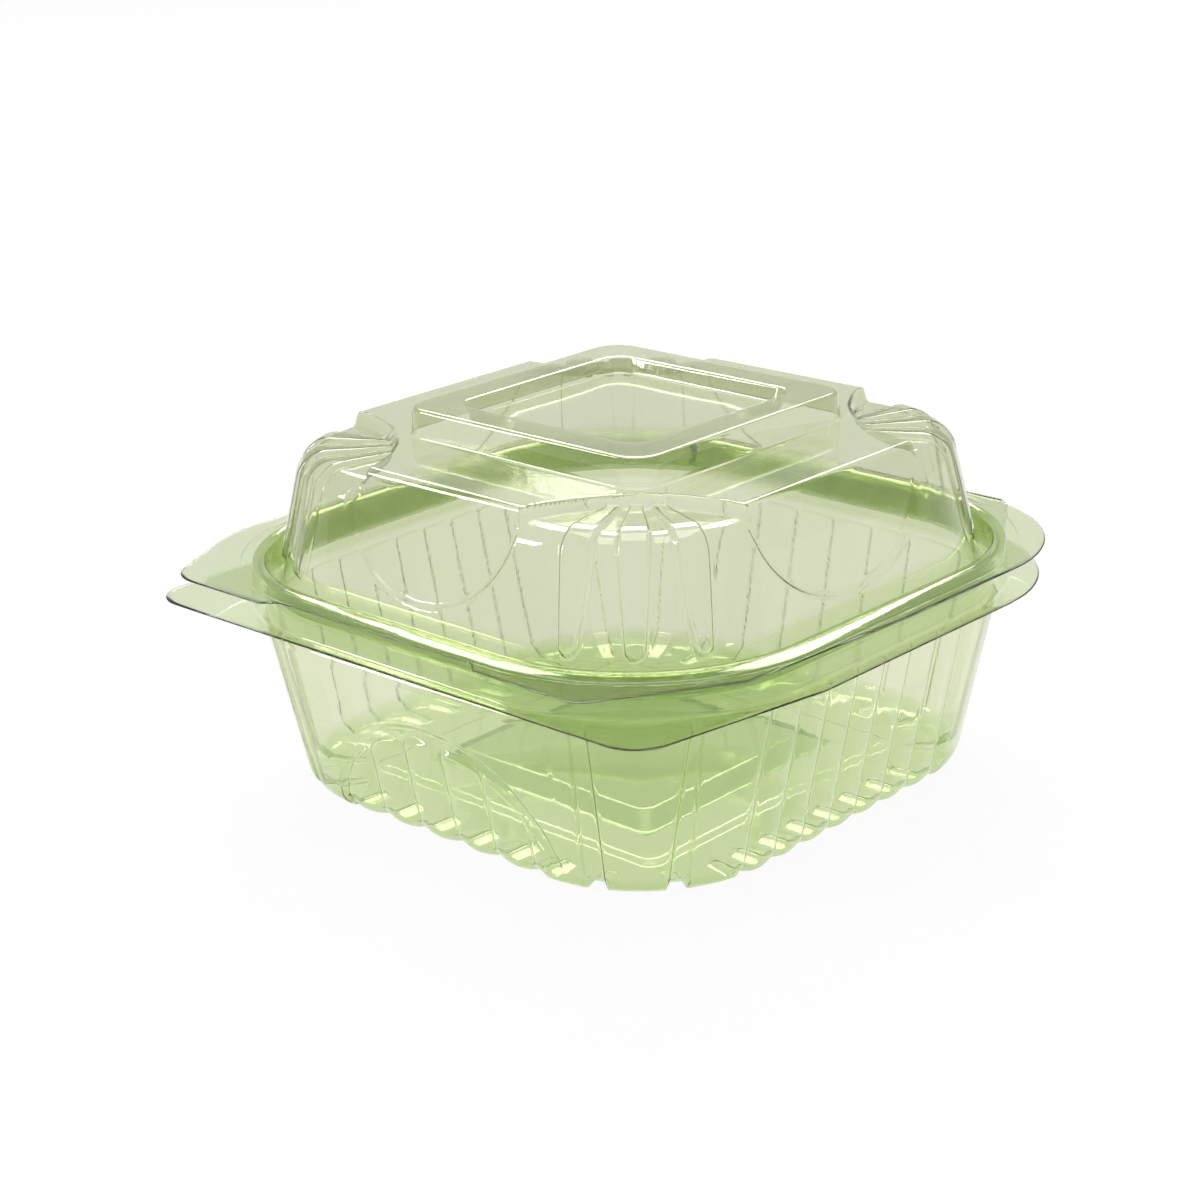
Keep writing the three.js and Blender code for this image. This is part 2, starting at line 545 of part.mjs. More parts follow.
  const flange = roundedOutline([
    [LID_FLANGE_HALF - LID_RIGHT_KNEE_INSET, LID_RIGHT_KNEE_Y, 0],
    [LID_FLANGE_HALF, 0, 0],
    [LID_FLANGE_HALF, FLANGE_BACK_Y, FLANGE_REAR_ROUND],
    [-LID_FLANGE_HALF, FLANGE_BACK_Y, FLANGE_REAR_ROUND],
    [-LID_FLANGE_HALF, LID_LEFT_KNEE_Y, 0],
    [-LID_FLANGE_HALF + LEFT_TAB_END_INSET, TAB_FRONT_Y, TAB_ROUND],
    [LEFT_TAB_START_X - TAB_STEP_WIDTH, TAB_FRONT_Y, TAB_STEP_ROUND],
    [LEFT_TAB_START_X, FLANGE_FRONT_Y, TAB_STEP_ROUND],
    [RIGHT_TAB_START_X, FLANGE_FRONT_Y, TAB_STEP_ROUND],
    [RIGHT_TAB_START_X + TAB_STEP_WIDTH, TAB_FRONT_Y, TAB_STEP_ROUND],
    [LID_FLANGE_HALF - RIGHT_TAB_END_INSET, TAB_FRONT_Y, TAB_ROUND],
  ]);
  const bases = stations.map((station) => (
    squarePoint(station.side, spot(station, LID_FLANGE_Z), BRIM_OUTER_HALF, CORNER_CENTRE)));
  const blockTop = SHOULDER_Z + BLOCK_RISE - SHEET / 2;
  return [
    cutEdge(flange, bases, LID_FLANGE_Z),
    ring(BRIM_OUTER_HALF, LID_FLANGE_Z),
    ring(BRIM_OUTER_HALF - BRIM_SOFT, LID_FLANGE_Z + BRIM_SOFT),
    ring(BRIM_INNER_HALF, LID_FLANGE_Z + BRIM_RISE),
    ring(plugHalf + EDGE_SOFT, LID_FLANGE_Z + BRIM_RISE - BRIM_SOFT),
    ring(plugHalf, LID_FLANGE_Z - EDGE_SOFT),
    ring(plugHalf - PLUG_TAPER, troughZ + EDGE_SOFT),
    ring(troughHalf, troughZ),
    ring(troughHalf - TROUGH_WIDTH + EDGE_SOFT, troughZ),
    wall(troughZ + EDGE_SOFT),
    wall(LID_RIB_BOTTOM - BRIM_SOFT),
    wall(LID_RIB_BOTTOM + LID_RIB_END_RISE),
    ...DOME_RING_HEIGHTS.map(wall),
    terraceEdge,
    shoulder(SHOULDER_SOFT / 2, SCOOP_RADIUS - SHOULDER_SOFT, terraceZ, HUB_RIB_RISE),
    shoulder(1.5 * SHOULDER_SOFT, SCOOP_RADIUS, SHOULDER_Z, 0),
    square(BLOCK_FOOT_HALF, SHOULDER_Z),
    square(BLOCK_TOP_HALF, blockTop - EDGE_SOFT),
    square(BLOCK_TOP_HALF - EDGE_SOFT, blockTop),
    square(RECESS_HALF, blockTop, SMALL_ROUND),
    square(RECESS_HALF - RECESS_TAPER, blockTop - RECESS_DEPTH, SMALL_ROUND),
  ];
}

/** Leaf of the fold: a strip from behind a flange to the fold line. */
function leafGeometry(flangeZ) {
  const foldZ = (TUB_FLANGE_Z + LID_FLANGE_Z) / 2;
  const way = Math.sign(foldZ - flangeZ);
  const start = new THREE.Vector2(FLANGE_BACK_Y + CLEARANCE + SHEET, flangeZ);
  const end = new THREE.Vector2(FOLD_REACH, foldZ - way * FOLD_LINE_GAP);
  const inward = end.clone().sub(start).normalize()
    .rotateAround(new THREE.Vector2(), Math.PI / 2).multiplyScalar(way * SHEET);
  const section = new THREE.Shape([start, end, end.clone().add(inward), start.clone().add(inward)]);
  const geometry = new THREE.ExtrudeGeometry(section, { depth: FOLD_LENGTH, bevelEnabled: false });
  // The section's x is the part's y and its y is the part's z, drawn out along x.
  geometry.translate(0, 0, -FOLD_LENGTH / 2);
  geometry.applyMatrix4(new THREE.Matrix4().set(0, 0, 1, 0, 1, 0, 0, 0, 0, 1, 0, 0, 0, 0, 0, 1));
  return geometry;
}

function namedMesh(name, geometry) {
  const mesh = new THREE.Mesh(geometry, new THREE.MeshStandardMaterial({
    color: 0xc9dba0, roughness: 0.08, metalness: 0, transparent: true, opacity: 0.4,
  }));
  mesh.name = name;
  return mesh;
}

const clamshell = new THREE.Group();
clamshell.add(
  namedMesh("tub", sheetGeometry(tubRings(), SHEET / 2 + PANEL_RISE)),
  namedMesh("tub_hinge_leaf", leafGeometry(TUB_FLANGE_Z)),
  namedMesh("lid", sheetGeometry(lidRings(), SHOULDER_Z + BLOCK_RISE - SHEET / 2 - RECESS_DEPTH)),
  namedMesh("lid_hinge_leaf", leafGeometry(LID_FLANGE_Z)),
);

export default clamshell;
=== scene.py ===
"""Hinged clamshell container in clear, tinted sheet, dressed and lit for rendering.

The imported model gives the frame. The tub and the lid are built here as finely rounded
closed sheets on the same lines as their solids, and a curved strip joins them at the
back. Sizes are in millimetres and are turned to metres when a mesh is made.
"""

import logging
import math
from dataclasses import dataclass, field
from enum import Enum

import bpy
import numpy as np
from mathutils import Matrix, Vector

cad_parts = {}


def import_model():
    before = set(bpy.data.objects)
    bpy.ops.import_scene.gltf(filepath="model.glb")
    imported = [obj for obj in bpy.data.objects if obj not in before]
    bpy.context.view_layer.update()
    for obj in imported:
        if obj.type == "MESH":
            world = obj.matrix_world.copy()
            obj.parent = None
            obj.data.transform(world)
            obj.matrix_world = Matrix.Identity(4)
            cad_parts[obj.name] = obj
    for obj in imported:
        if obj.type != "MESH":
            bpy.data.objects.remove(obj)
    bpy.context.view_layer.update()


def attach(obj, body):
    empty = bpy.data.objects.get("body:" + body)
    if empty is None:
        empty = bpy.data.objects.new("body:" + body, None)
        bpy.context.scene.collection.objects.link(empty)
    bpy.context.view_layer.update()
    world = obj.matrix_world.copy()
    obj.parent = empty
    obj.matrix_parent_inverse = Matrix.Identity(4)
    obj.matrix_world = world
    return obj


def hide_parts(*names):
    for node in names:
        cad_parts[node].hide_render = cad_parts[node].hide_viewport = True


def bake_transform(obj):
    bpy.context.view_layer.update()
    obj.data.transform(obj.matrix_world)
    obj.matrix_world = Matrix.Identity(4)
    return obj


Array = np.ndarray
Number = Array | float
Colour = tuple[float, float, float]
Socket = bpy.types.NodeSocket

MM = 0.001
TINY = 1e-9
WHITE: Colour = (1.0, 1.0, 1.0)
OFF_RIB = 9.0
INNER_SHARE = 0.6
LOG = logging.getLogger("clamshell")


class Body(Enum):
    """Bodies of the frame that pieces ride on."""

    TUB = "tub"
    LID = "lid"


class Wall(Enum):
    """Sides of the square, counter-clockwise from the right."""

    RIGHT = 0
    BACK = 1
    LEFT = 2
    FRONT = 3


def smooth(value: Number, low: Number, high: Number) -> Number:
    """Rises smoothly from 0 at `low` to 1 at `high`."""
    share = np.clip((value - low) / (high - low), 0.0, 1.0)
    return share * share * (3.0 - 2.0 * share)


def lerp(a: Number, b: Number, t: Number) -> Number:
    """Goes from `a` at 0 to `b` at 1."""
    return a + (b - a) * t


def level(points: Array, z: Number) -> Array:
    """Adds heights to points in plan."""
    heights = np.broadcast_to(z, (len(points),))
    return np.column_stack([points, heights])


def feed(tree: bpy.types.NodeTree, socket: Socket, value: Socket | float | tuple[float, ...]) -> None:
    """Links a socket to another one, or sets its plain value.

    Args:
        tree: Tree that the socket is in.
        socket: The input to set.
        value: What goes into it.
    """
    if isinstance(value, bpy.types.NodeSocket):
        tree.links.new(value, socket)
    else:
        socket.default_value = value


def reckon(tree: bpy.types.NodeTree, operation: str, *terms: Socket | float) -> Socket:
    """Adds a math node.

    Args:
        tree: Tree that the node goes into.
        operation: Blender's name of what the node does.
        terms: The node's inputs in order, as sockets or numbers.

    Returns:
        The node's output.
    """
    node = tree.nodes.new("ShaderNodeMath")
    node.operation = operation
    for socket, term in zip(node.inputs, terms):
        feed(tree, socket, term)
    return node.outputs["Value"]


def mix_colours(tree: bpy.types.NodeTree, factor: Socket | float, first: Socket,
                second: Socket | tuple[float, ...], mode: str = "MIX") -> Socket:
    """Adds a node that mixes two colours.

    Args:
        tree: Tree that the node goes into.
        factor: Share of the second colour.
        first: Colour at a factor of 0.
        second: Colour that is mixed in.
        mode: Blender's name of the way to mix.

    Returns:
        The node's output.
    """
    node = tree.nodes.new("ShaderNodeMix")
    node.data_type, node.blend_type = "RGBA", mode
    for place, value in (("Factor", factor), (6, first), (7, second)):
        feed(tree, node.inputs[place], value)
    return node.outputs[2]


@dataclass
class Stations:
    """Points that go once round a rounded square, from wall to wall.

    `base` is a point's place along its wall, up to where the corner starts, `turn` its
    angle in the corner in radians, and `after` how far it is past the corner's end.
    """

    side: Array
    base: Array
    turn: Array
    after: Array

    def place(self, half: Number, centre: float, push: Number = 0.0) -> Array:
        """Places every station on a rounded square.

        Args:
            half: Half width of the square.
            centre: Distance of the corners' centres from the middle.
            push: Extra distance along the outward normal.

        Returns:
            The points, one row of x and y for each station.
        """
        radius = half - centre + push
        out = centre + radius * np.cos(self.turn) - self.after
        along = self.base + radius * np.sin(self.turn)
        cosine = np.array([1.0, 0.0, -1.0, 0.0])[self.side]
        sine = np.array([0.0, 1.0, 0.0, -1.0])[self.side]
        return np.stack([out * cosine - along * sine, out * sine + along * cosine], axis=1)

    def normals(self) -> Array:
        """Outward normals of the stations in plan."""
        far = Stations(self.side, self.base * 0, self.turn, self.after * 0)
        return far.place(1.0, 0.0)


@dataclass(frozen=True)
class Outline:
    """Cut outline of a flange in plan: corners as x, y and rounding radius."""

    corners: tuple[tuple[float, float, float], ...]
    steps: int = 16

    def polygon(self) -> Array:
        """Rounds the outline's corners.

        Returns:
            The rounded outline as rows of x and y.
        """
        points: list[Array] = []
        count = len(self.corners)
        for i, (x, y, radius) in enumerate(self.corners):
            here = np.array([x, y])
            before = np.array(self.corners[i - 1][:2]) - here
            after = np.array(self.corners[(i + 1) % count][:2]) - here
            before, after = before / np.linalg.norm(before), after / np.linalg.norm(after)
            if radius == 0.0:
                points.append(here)
                continue
            half = math.acos(float(np.clip(before @ after, -1, 1))) / 2
            bisector = (before + after) / np.linalg.norm(before + after)
            middle = here + bisector * radius / math.sin(half)
            start = here + before * radius / math.tan(half) - middle
            end = here + after * radius / math.tan(half) - middle
            sweep = math.atan2(start[0] * end[1] - start[1] * end[0], float(start @ end))
            for turn in np.linspace(0.0, sweep, self.steps + 1):
                c, s = math.cos(turn), math.sin(turn)
                points.append(middle + (start[0] * c - start[1] * s, start[0] * s + start[1] * c))
        return np.array(points)

    def reach(self, points: Array, normals: Array) -> Array:
        """Follows each normal from its point to the outline.

        Args:
            points: Rows of x and y inside the outline.
            normals: Their outward normals.

        Returns:
            The first points where the rays leave the outline.
        """
        corners = self.polygon()
        edge = (np.roll(corners, -1, axis=0) - corners)[None]
        to, ray = corners[None] - points[:, None], normals[:, None]
        across = ray[..., 0] * edge[..., 1] - ray[..., 1] * edge[..., 0]
        across = np.where(np.abs(across) < TINY, TINY, across)
        distance = (to[..., 0] * edge[..., 1] - to[..., 1] * edge[..., 0]) / across
        share = (to[..., 0] * ray[..., 1] - to[..., 1] * ray[..., 0]) / across
        hit = (share >= -1e-6) & (share <= 1 + 1e-6) & (distance > 0)
        return points + normals * np.where(hit, distance, np.inf).min(axis=1)[:, None]


@dataclass(frozen=True)
class Rims:
    """Heights, half widths and thicknesses that the tub and the lid share."""

    corner_centre: float = 28.5
    tub_flange_z: float = 43.3
    lid_flange_z: float = 51.7
    flange_back: float = 75.8
    bead_outer: float = 72.5
    bead_width: float = 1.6
    bead_slope: float = 1.0
    bead_drop: float = 1.8
    brim_rise: float = 1.3
    sheet: float = 0.5
    clearance: float = 0.3
    fold: float = 0.5
    edge_thick: float = 0.16
    flange_thick: float = 0.2
    edge_share: float = 0.08

    @property
    def bead_top(self) -> float:
        """Height of the bead's middle surface, just under the brim."""
        return self.lid_flange_z + self.brim_rise - self.sheet - self.clearance

    @property
    def plug_half(self) -> float:
        """Half width of the lid's plug wall, just inside the bead."""
        return self.bead_outer - self.bead_width - self.bead_slope - self.sheet - self.clearance


@dataclass
class Meridians:
    """Rows of points from a sheet's cut edge to its middle, with rounded folds.

    The rows are kept as x, y, z and the sheet's thickness there.
    """

    rows: list[Array] = field(default_factory=list)
    rounds: list[tuple[float, int]] = field(default_factory=list)
    thick: float = 0.0
    longest_round: float = 0.48

    def add(self, row: Array, radius: float = 0.0, steps: int = 1, thick: float | None = None) -> None:
        """Adds a row.

        Args:
            row: One x, y, z point for each station.
            radius: How far the fold's rounding reaches along the sheet.
            steps: Number of points that the rounding takes.
            thick: The sheet's thickness from this row on, if it changes.
        """
        self.thick = self.thick if thick is None else thick
        self.rows.append(np.column_stack([row, np.full(len(row), self.thick)]))
        self.rounds.append((radius, steps))

    def flange(self, edge: Array, inside: Array, rims: Rims) -> None:
        """Adds the rows of a flat flange, which is thinner at its cut edge.

        Args:
            edge: Row of the cut edge.
            inside: Row where the flange ends, which isn't added.
            rims: Gives the thicknesses.
        """
        self.add(edge, thick=rims.edge_thick)
        self.add(lerp(edge, inside, rims.edge_share), thick=rims.flange_thick)
        self.add(lerp(edge, inside, 0.5))

    def grid(self) -> Array:
        """Rounds the folds between the rows.

        Returns:
            All the rows as one array.
        """
        made: list[Array] = []
        last = len(self.rows) - 1
        for k, (row, (radius, steps)) in enumerate(zip(self.rows, self.rounds)):
            if radius == 0.0 or k in (0, last):
                made.append(row)
                continue
            start = self._toward(row, self.rows[k - 1], radius)
            end = self._toward(row, self.rows[k + 1], radius)
            for t in np.linspace(0.0, 1.0, steps + 1):
                made.append(start * (1 - t) ** 2 + row * 2 * t * (1 - t) + end * t**2)
        return np.array(made)

    def _toward(self, row: Array, other: Array, radius: float) -> Array:
        """Goes from one row towards another.

        Args:
            row: Row to start from.
            other: Row to go towards.
            radius: How far to go, though at most near half way.

        Returns:
            The points that are reached.
        """
        step = other - row
        length = np.maximum(np.linalg.norm(step[:, :3], axis=1, keepdims=True), TINY)
        return row + step * np.minimum(radius / length, self.longest_round)


@dataclass(frozen=True)
class SheetBuilder:
    """Turns rows of a middle surface into a closed sheet with a rounded cut edge."""

    edge_steps: int = 4

    def build(self, name: str, rows: Array, closed: bool = True) -> bpy.types.Object:
        """Makes the mesh object of a sheet.

        Args:
            name: Name of the object.
            rows: Points by row and by station from the cut edge inwards, as x, y, z and
                thickness in millimetres.
            closed: Whether the stations join up and the last row is filled.

        Returns:
            The new object, in metres.
        """
        layers = self._wrap(rows[..., :3], rows[..., 3:] / 2, closed)
        deep, count = layers.shape[:2]
        vertices = layers.reshape(-1, 3)
        index = np.arange(deep * count).reshape(deep, count)
        faces: list[list[int]] = self._quads(index, closed).tolist()
        if closed:
            middle = [layers[-1].mean(axis=0), layers[0].mean(axis=0)]
            first, second = len(vertices), len(vertices) + 1
            vertices = np.vstack([vertices, middle])
            around = np.roll(np.arange(count), -1)
            faces += [[int(a), int(b), first] for a, b in zip(index[-1], index[-1][around])]
            faces += [[int(b), int(a), second] for a, b in zip(index[0], index[0][around])]
        else:
            faces += [index[:, 0].tolist()[::-1], index[:, -1].tolist()]
        mesh = bpy.data.meshes.new(name)
        mesh.from_pydata((vertices * MM).tolist(), [], faces)
        mesh.validate()
        mesh.shade_smooth()
        made = bpy.data.objects.new(name, mesh)
        bpy.context.scene.collection.objects.link(made)
        return made

    def _wrap(self, grid: Array, offset: Array, closed: bool) -> Array:
        """Stacks the under side, the rounded cut edge and the upper side as rows.

        Args:
            grid: Points of the middle surface.
            offset: Half the sheet's thickness at each point.
            closed: Whether the stations join up.

        Returns:
            The rows of the sheet's outside.
        """
        normals = self._normals(grid, closed)
        top, under = grid + normals * offset, grid - normals * offset
        edge = self._edge(grid[0], grid[1], normals[0], offset[0])
        if closed:
            return np.concatenate([under[:0:-1], edge, top[1:]])
        end = self._edge(grid[-1], grid[-2], normals[-1], offset[-1])[::-1]
        loop = np.concatenate([under[-2:0:-1], edge, top[1:-1], end])
        return np.concatenate([loop, loop[:1]])

    def _edge(self, middle: Array, within: Array, normal: Array, radius: Array) -> Array:
        """Rounds a cut edge, from the under side to the upper side.

        Args:
            middle: The edge's row of the middle surface.
            within: The next row inwards.
            normal: Normals of the edge's row.
            radius: Half the sheet's thickness there.

        Returns:
            The rows of the half round.
        """
        inward = within - middle
        inward /= np.maximum(np.linalg.norm(inward, axis=1, keepdims=True), TINY)
        centre = middle + inward * radius
        turns = np.linspace(-math.pi / 2, math.pi / 2, self.edge_steps + 1)
        return np.array([centre - inward * radius * math.cos(turn) + normal * radius * math.sin(turn)
                         for turn in turns])

    @staticmethod
    def _quads(index: Array, closed: bool) -> Array:
        """Joins neighbouring rows and stations by quads that face out.

        Args:
            index: Number of the vertex at each row and station.
            closed: Whether the stations join up.

        Returns:
            The four vertices of each quad.
        """
        right = np.roll(index, -1, axis=1) if closed else index[:, 1:]
        left = index if closed else index[:, :-1]
        quads = np.stack([left[:-1], right[:-1], right[1:], left[1:]], axis=-1)
        return quads.reshape(-1, 4)

    @staticmethod
    def _normals(grid: Array, closed: bool) -> Array:
        """Finds the unit normals of the middle surface.

        Args:
            grid: Points of the middle surface.
            closed: Whether the stations join up.

        Returns:
            The normal at each point.
        """
        along = np.gradient(grid, axis=0)
        if closed:
            across = (np.roll(grid, -1, axis=1) - np.roll(grid, 1, axis=1)) / 2
        else:
            across = np.gradient(grid, axis=1)
        normals = np.cross(across, along)
        length = np.linalg.norm(normals, axis=2, keepdims=True)
        normals = normals / np.maximum(length, 1e-12)
        for row in range(1, len(normals)):
            bad = length[row, :, 0] < TINY
            normals[row][bad] = normals[row - 1][bad]
        return normals


@dataclass(frozen=True)
class FormingMarks:
    """Faint marks that forming leaves in a clear sheet, as a shared node group."""

    name: str = "forming_marks"

    def group(self) -> bpy.types.NodeTree:
        """Makes the node group, once.

        Returns:
            The node group.
        """
        if self.name in bpy.data.node_groups:
            return bpy.data.node_groups[self.name]
        tree = bpy.data.node_groups.new(self.name, "ShaderNodeTree")
        number, colour = "NodeSocketFloat", "NodeSocketColor"
        for label, way, kind in (
                ("Wave Scale", "INPUT", number), ("Grain Scale", "INPUT", number),
                ("Grain Amount", "INPUT", number), ("Roughness", "INPUT", number),
                ("Thick Tint", "INPUT", colour), ("Thin Tint", "INPUT", colour),
                ("Height", "OUTPUT", number), ("Roughness", "OUTPUT", number),
                ("Tint", "OUTPUT", colour)):
            tree.interface.new_socket(label, in_out=way, socket_type=kind)
        given = tree.nodes.new("NodeGroupInput").outputs
        leave = tree.nodes.new("NodeGroupOutput").inputs
        place = tree.nodes.new("ShaderNodeTexCoord").outputs["Object"]
        wave = self._noise(tree, place, given["Wave Scale"], 2.0, 0.25)
        grain = self._noise(tree, place, given["Grain Scale"], 3.0, 0.08)
        results = {
            "Height": reckon(tree, "MULTIPLY_ADD", grain, given["Grain Amount"], wave),
            "Roughness": reckon(tree, "MULTIPLY", wave, given["Roughness"]),
            "Tint": mix_colours(tree, wave, given["Thin Tint"], given["Thick Tint"]),
        }
        for label, result in results.items():
            tree.links.new(result, leave[label])
        return tree

    @staticmethod
    def _noise(tree: bpy.types.NodeTree, place: Socket, scale: Socket, detail: float,
               upright: float) -> Socket:
        """Adds a noise that is drawn out upright.

        Args:
            tree: Tree that the nodes go into.
            place: Coordinates of the noise.
            scale: Its scale.
            detail: Its number of octaves.
            upright: Its scale along the height, as a share of that across.

        Returns:
            The noise's value.
        """
        noise, stretch = tree.nodes.new("ShaderNodeTexNoise"), tree.nodes.new("ShaderNodeMapping")
        stretch.inputs["Scale"].default_value = (1.0, 1.0, upright)
        noise.inputs["Detail"].default_value = detail
        tree.links.new(place, stretch.inputs["Vector"])
        tree.links.new(stretch.outputs["Vector"], noise.inputs["Vector"])
        tree.links.new(scale, noise.inputs["Scale"])
        return noise.outputs["Fac"]


@dataclass(frozen=True)
class ClearSheetFinish:
    """Glossy clear sheet, tinted by the thickness that light passes through.

    The height bands paint shade into the sheet's colour, darker and greener at the floor and the
    rims and lighter on the top, and the panel colour paints darker green shade on the square in
    its middle, out to the half width given, if there is one.
    """

    name: str
    ior: float = 1.47
    absorption: Colour = (0.74, 0.92, 0.12)
    density: float = 850.0
    thick_tint: Colour = (0.87, 0.87, 0.87)
    thin_tint: Colour = (0.83, 0.83, 0.83)
    # Painted shade by height: darker and greener at the floor and the rims, white on the top.
    painted_shade_bands: tuple[tuple[float, Colour], ...] = ((0.0, WHITE), (86.0, WHITE))
    # Painted darker green shade on the floor's middle square.
    panel: Colour = WHITE
    painted_shade_half: float = 0.0
    wave_scale: float = 55.0
    wave_height: float = 0.00004
    grain_scale: float = 900.0
    grain_amount: float = 0.15
    roughness: float = 0.04

    def material(self) -> bpy.types.Material:
        """Makes the finish's material, once.

        Returns:
            The material.
        """
        if self.name in bpy.data.materials:
            return bpy.data.materials[self.name]
        made = bpy.data.materials.new(self.name)
        made.use_nodes = True
        tree = made.node_tree
        nodes, links = tree.nodes, tree.links
        shader, out = nodes["Principled BSDF"], nodes["Material Output"]
        shader.inputs["Metallic"].default_value = 0.0
        shader.inputs["Transmission Weight"].default_value = 1.0
        shader.inputs["IOR"].default_value = self.ior
        marks = nodes.new("ShaderNodeGroup")
        marks.node_tree = FormingMarks().group()
        for label, value in (
                ("Wave Scale", self.wave_scale), ("Grain Scale", self.grain_scale),
                ("Grain Amount", self.grain_amount), ("Roughness", self.roughness),
                ("Thick Tint", (*self.thick_tint, 1.0)), ("Thin Tint", (*self.thin_tint, 1.0))):
            marks.inputs[label].default_value = value
        # The forming marks' random colour is multiplied by painted shade by height and on the middle
        # square.
        colour_and_painted_shade = mix_colours(tree, 1.0, marks.outputs["Tint"], self._painted_shade(tree), "MULTIPLY")
        links.new(colour_and_painted_shade, shader.inputs["Base Color"])
        links.new(marks.outputs["Roughness"], shader.inputs["Roughness"])
        bump = nodes.new("ShaderNodeBump")
        bump.inputs["Distance"].default_value = self.wave_height
        links.new(marks.outputs["Height"], bump.inputs["Height"])
        links.new(bump.outputs["Normal"], shader.inputs["Normal"])
        absorb = nodes.new("ShaderNodeVolumeAbsorption")
        absorb.inputs["Color"].default_value = (*self.absorption, 1.0)
        absorb.inputs["Density"].default_value = self.density
        links.new(absorb.outputs["Volume"], out.inputs["Volume"])
        return made

    def _painted_shade(self, tree: bpy.types.NodeTree) -> Socket:
        """Adds painted shade to the sheet's colour by height, and within the middle square.

        Args:
            tree: Tree that the nodes go into.

        Returns:
            The painted shade, as a colour that multiplies the sheet's own.
        """
        nodes, links = tree.nodes, tree.links
        place, parts = nodes.new("ShaderNodeTexCoord"), nodes.new("ShaderNodeSeparateXYZ")
        share, ramp = nodes.new("ShaderNodeMapRange"), nodes.new("ShaderNodeValToRGB")
        # Painted shade by height, through a colour ramp over the sheet's height.
        top = self.painted_shade_bands[-1][0]
        share.inputs["From Max"].default_value = top * MM
        links.new(place.outputs["Object"], parts.inputs["Vector"])
        links.new(parts.outputs["Z"], share.inputs["Value"])
        links.new(share.outputs["Result"], ramp.inputs["Fac"])
        stops = ramp.color_ramp.elements
        for k, (z, colour) in enumerate(self.painted_shade_bands):
            # A new ramp already has two stops.
            stop = stops[k] if k < 2 else stops.new(z / top)
            stop.position, stop.color = z / top, (*colour, 1.0)
        if self.painted_shade_half == 0.0:
            return ramp.outputs["Color"]
        # Painted darker green shade inside the middle square.
        away = [reckon(tree, "ABSOLUTE", parts.outputs[axis]) for axis in "XY"]
        within = reckon(tree, "LESS_THAN", reckon(tree, "MAXIMUM", *away), self.painted_shade_half * MM)
        return mix_colours(tree, within, ramp.outputs["Color"], (*self.panel, 1.0))


